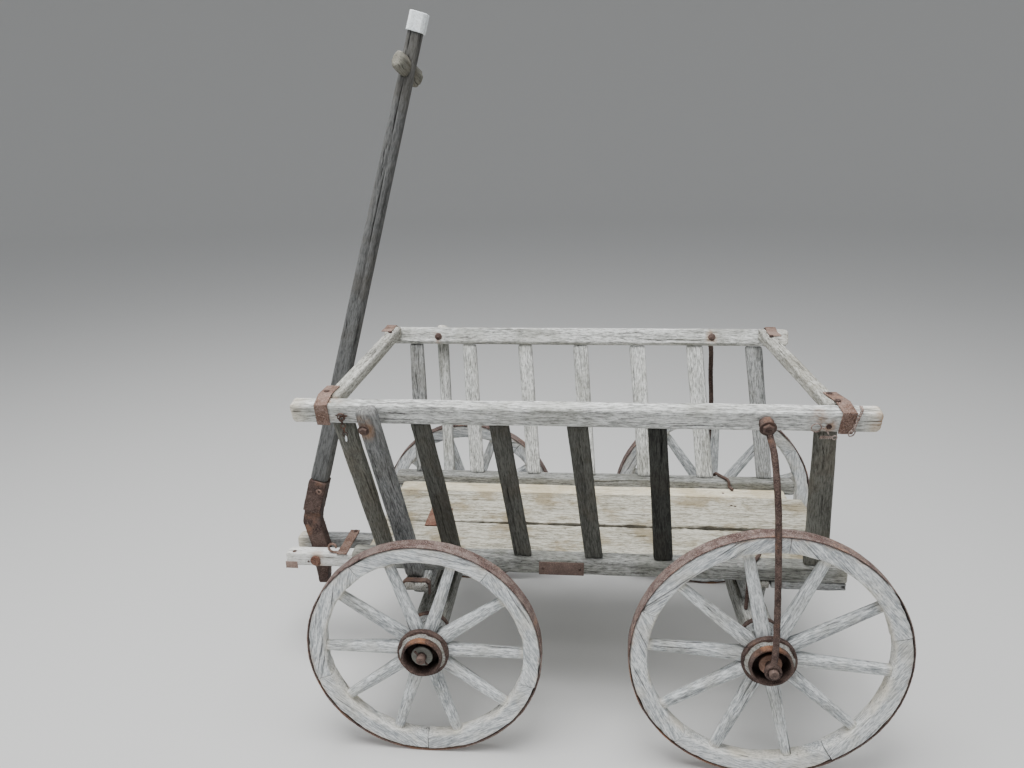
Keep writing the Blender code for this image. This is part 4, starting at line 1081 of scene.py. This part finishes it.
def makeFittings():
    for body, face, normal, radius, height, sides, pixels in heads:
        for px, py in pixels:
            keep(body, "deepRust", boltHead(seenAt(px, py, face, normal), normal, radius, height, sides))
    for place in farBolts:
        keep("cart_body", "forgedRust", boltHead(place, farIn, 0.0092, 0.0056, 12))
    keep("cart_body", "deepRust", boltHead(railNail, nearOut, 0.0048, 0.0022, 10))
    keepBolt("cart_body", "deepRust", stakeBolt, stakeNormal, 0.0105, 0.004, 0.0014, 0.0078, 0.0075, 6)
    keepBolt("front_carriage", "brightRust", armBolt, towards, 0.0095, 0.004, 0.0012, 0.0072, 0.0060, 6)
    for body, finish, face, first, second, thick, out, bevel in patches:
        low, high = seenAt(*first, face, towards), seenAt(*second, face, towards)
        middle = (low + high) / 2
        size = (high.x - low.x, thick, high.z - low.z)
        keep(body, finish, block(middle + towards * out, size, bevel=bevel))
        if body == "cart_body":
            for x in (-0.036, 0.036):
                keep(body, "deepRust", boltHead(middle + Vector((x, -0.0016, 0)), towards, 0.003, 0.0012, 8))
    # the far straps' tails lie on the crossbars
    plateTop = topOf("strap_front_near").z
    for x, near, far in tails["ends"]:
        keep("cart_body", "strapRust", block((x, (near + far) / 2, plateTop - 0.0011),
                                             (tails["width"], far - near, tails["thick"]), bevel=0.0006))
    for side in (-1, 1):
        out = ladderNormal(side)
        seat = railCentre(side) + out * rail["halfThick"] * 2 + Vector((stayNut["x"], 0, 0))
        keepBolt("cart_body", "deepRust", seat, out, stayNut["washer"], 0.006, 0.0018,
                 stayNut["radius"], stayNut["height"], 6, 0.0016)
    # bolt through the sheath, near and far heads
    low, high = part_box("drawbar_iron")
    spot = seenAt(318.9, 491.8, nearOf("drawbar_iron"), towards)
    for side, y in ((-1, low.y), (1, high.y)):
        place = Vector((spot.x, y, spot.z))
        keep("drawbar", "strapRust", washerAt(place, (0, side, 0), 0.0066, 0.0030, 0.0008))
        keep("drawbar", "deepRust", boltHead(place, (0, side, 0), 0.0038, 0.0004, 12))


wires = dict(radius=0.0011, ring=0.0085, loopSteps=14)


def keepWire(points, finish="wireRust", thickness=1.0):
    keep("cart_body", finish, rod(points, wires["radius"] * thickness))


def loopOf(centre, across, up, radius, turns, drift=Vector()):
    points, steps = [], wires["loopSteps"]
    for k in range(int(steps * turns) + 1):
        angle = fullTurn * k / steps
        points.append(centre + across * math.cos(angle) * radius + up * math.sin(angle) * radius
                      + drift * (k / steps))
    return points


def keepTwist(spots, first, second, pace, spread, thickness=1.0):
    # two wires wound about a line of spots
    for phase in (0, math.pi):
        keepWire([spot + (first * math.cos(k * pace + phase) + second * math.sin(k * pace + phase)) * spread
                  for k, spot in enumerate(spots)], thickness=thickness)


def makeWires():
    out, ahead = nearOut, Vector((1, 0, 0))
    up = out.cross(ahead).normalized()
    # ring and twisted tie on the rail by the last slat
    centre = ringPlace + out * 0.0024
    keepWire(loopOf(centre, ahead, up, wires["ring"], 1.05))
    keepWire([centre + ahead * 0.009, centre + ahead * 0.015 + out * 0.002,
              centre + ahead * 0.018 - up * 0.006, centre + ahead * 0.022 - up * 0.012 + out * 0.001])
    tie = seenAt(826, 437.5, nearRail + out * 0.002, out)
    keepTwist([tie + ahead * (0.0013 * k - 0.010) for k in range(17)], up, out, 1.15, 0.0022, 0.9)
    keepWire(loopOf(tie + ahead * 0.014, ahead, up, 0.0040, 1.1), thickness=0.9)
    # twisted wire over the rail's end, with its loop hanging on the face
    faceTop, foot = seenAt(860.5, 412, nearRail, out), seenAt(851.0, 430, nearRail, out)
    crown = Vector((faceTop.x + 0.006, -rail["offset"], rail["height"])) + up * 0.0222 - out * 0.004
    bend, end = faceTop + out * 0.006 + up * 0.008, foot + out * 0.0064
    shares = [k / 30 for k in range(31)]
    keepTwist([crown.lerp(bend, share / 0.35) if share < 0.35 else bend.lerp(end, (share - 0.35) / 0.65)
               for share in shares], ahead, out, 1.05, 0.0020)
    keepWire(loopOf(foot + out * 0.0062 - up * 0.002, ahead * 0.75 + up * 0.66, up * 0.9 - ahead * 0.3,
                    0.0062, 1.1))
    # knotted wire hanging from the rail beside the first slat
    knot = seenAt(341.5, 416.0, nearRail, out) + out * 0.0024
    keepWire(loopOf(knot, ahead, up, 0.0070, 1.4, out * 0.0012), "deepRust", 1.1)
    keepWire(loopOf(knot - up * 0.004, (ahead + up * 0.5).normalized(), up, 0.0050, 1.3, out * 0.001),
             "deepRust", 1.1)
    keepWire([knot - ahead * 0.010 + up * 0.003, knot, knot + ahead * 0.011 + up * 0.002], "deepRust", 1.1)
    for k in range(5):
        centre = knot - up * 0.011 + ahead * 0.0012 * k - upwards * 0.0078 * k + out * 0.0003
        side = ((ahead if k % 2 else out) * 0.5 + ahead * 0.3).normalized()
        keepWire(loopOf(centre, side, upwards, 0.0044, 1.05), "deepRust" if k < 4 else "zinc", 0.9)


hoop = dict(wide=0.0125, thick=0.0036, y=0.2505)


def makeHoops():
    # iron arches over the ends of the front bolster, outside the stakes' feet
    low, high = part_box("bolster_front")
    across = (high.x - low.x) / 2 + hoop["thick"] / 2
    points = [(-across, -0.026), (-across, -0.004), (-across + 0.006, 0.0012), (across - 0.006, 0.0012),
              (across, -0.004), (across, -0.026)]
    for side in (-1, 1):
        centre = Vector(((low.x + high.x) / 2, side * hoop["y"], high.z))
        for (x0, z0), (x1, z1) in zip(points, points[1:]):
            run, sideways = Vector((x1 - x0, 0, z1 - z0)), Vector((0, 1, 0))
            axes = (run.normalized(), sideways, run.normalized().cross(sideways))
            middle = centre + Vector(((x0 + x1) / 2, 0, (z0 + z1) / 2))
            keep("cart_body", "forgedRust",
                 block(middle, (run.length + 0.0014, hoop["wide"], hoop["thick"]), axes, 0.0006))


makeFittings()
makeWires()
makeHoops()
for (body, finish), pieces in sorted(trim.items()):
    piece = join(pieces)
    writeHollows(piece.data, 0.002)
    finishAs(piece, "trim_" + body + "_" + finish, finish, body, 38)
print("fittings placed")


cleat = dict(length=0.142, width=0.033, thick=0.0155, drop=0.0080, bevel=0.003)


def makeCleat():
    # a worn strip under the near sill's tail
    low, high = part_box("sill_near")
    piece = block(Vector((high.x - cleat["length"] / 2, (low.y + high.y) / 2, low.z - cleat["drop"])),
                  (cleat["length"], cleat["width"], cleat["thick"]), bevel=cleat["bevel"])
    startEditing(piece)
    bpy.ops.mesh.subdivide(number_cuts=12)
    stopEditing()
    places, normals = surfaceOf(piece)
    local = places - places.mean(0)
    push(piece, places, normals, (lumps(local * (30, 140, 140), 21) - 0.5) * 0.004 - 0.001)
    writeAttribute(piece.data, "grain", local + 1.7)
    writeHollows(piece.data, 0.003)
    finishAs(piece, "sill_cleat", "ash", "cart_body", 60)


makeCleat()


# Floor, light and camera

stage = dict(radius=11.0, bend=4.5, bendSteps=16, high=10.0, tone=(0.62, 0.62, 0.61, 1), rough=0.95,
             glow=0.12, sky=(0.86, 0.90, 0.96, 1), skyStrength=0.30)


def setStage():
    # a pale floor that sweeps up all round the cart
    radius, bend = stage["radius"], stage["bend"]
    profile = [(0.0, 0.0), (radius, 0.0)]
    for k in range(1, stage["bendSteps"] + 1):
        angle = math.pi / 2 * k / stage["bendSteps"]
        profile.append((radius + bend * math.sin(angle), bend * (1 - math.cos(angle))))
    profile.append((radius + bend, stage["high"]))
    floor = turned(profile, (0, 0, 0), upwards, 96, closed=False)
    floor.name = "studio_floor"
    activate(floor)
    bpy.ops.object.shade_smooth()
    material = bpy.data.materials.new("studio_floor")
    material.use_nodes = True
    shader = material.node_tree.nodes["Principled BSDF"]
    for key, value in (("Base Color", stage["tone"]), ("Roughness", stage["rough"]),
                       ("Emission Color", stage["tone"]), ("Emission Strength", stage["glow"])):
        shader.inputs[key].default_value = value
    floor.data.materials.append(material)
    world = bpy.data.worlds.new("studio")
    world.use_nodes = True
    sky = world.node_tree.nodes["Background"]
    sky.inputs["Color"].default_value = stage["sky"]
    sky.inputs["Strength"].default_value = stage["skyStrength"]
    bpy.context.scene.world = world


lights = [
    # place, aim, size, watts
    ((-0.4, -0.7, 3.6), (0.0, 0.0, 0.4), 2.2, 196),
    ((-2.4, -2.2, 2.2), (0.0, 0.0, 0.4), 1.6, 20),
    ((2.8, -1.2, 2.2), (0.1, 0.0, 0.4), 1.8, 15),
]


def setLights():
    for place, aim, size, watts in lights:
        bpy.ops.object.light_add(type="AREA", location=place)
        light = bpy.context.object
        light.data.size = size
        light.data.energy = watts
        light.rotation_euler = (Vector(aim) - Vector(place)).to_track_quat("-Z", "Y").to_euler()


setStage()
setLights()
setCamera()
print("stage, lights and camera set")
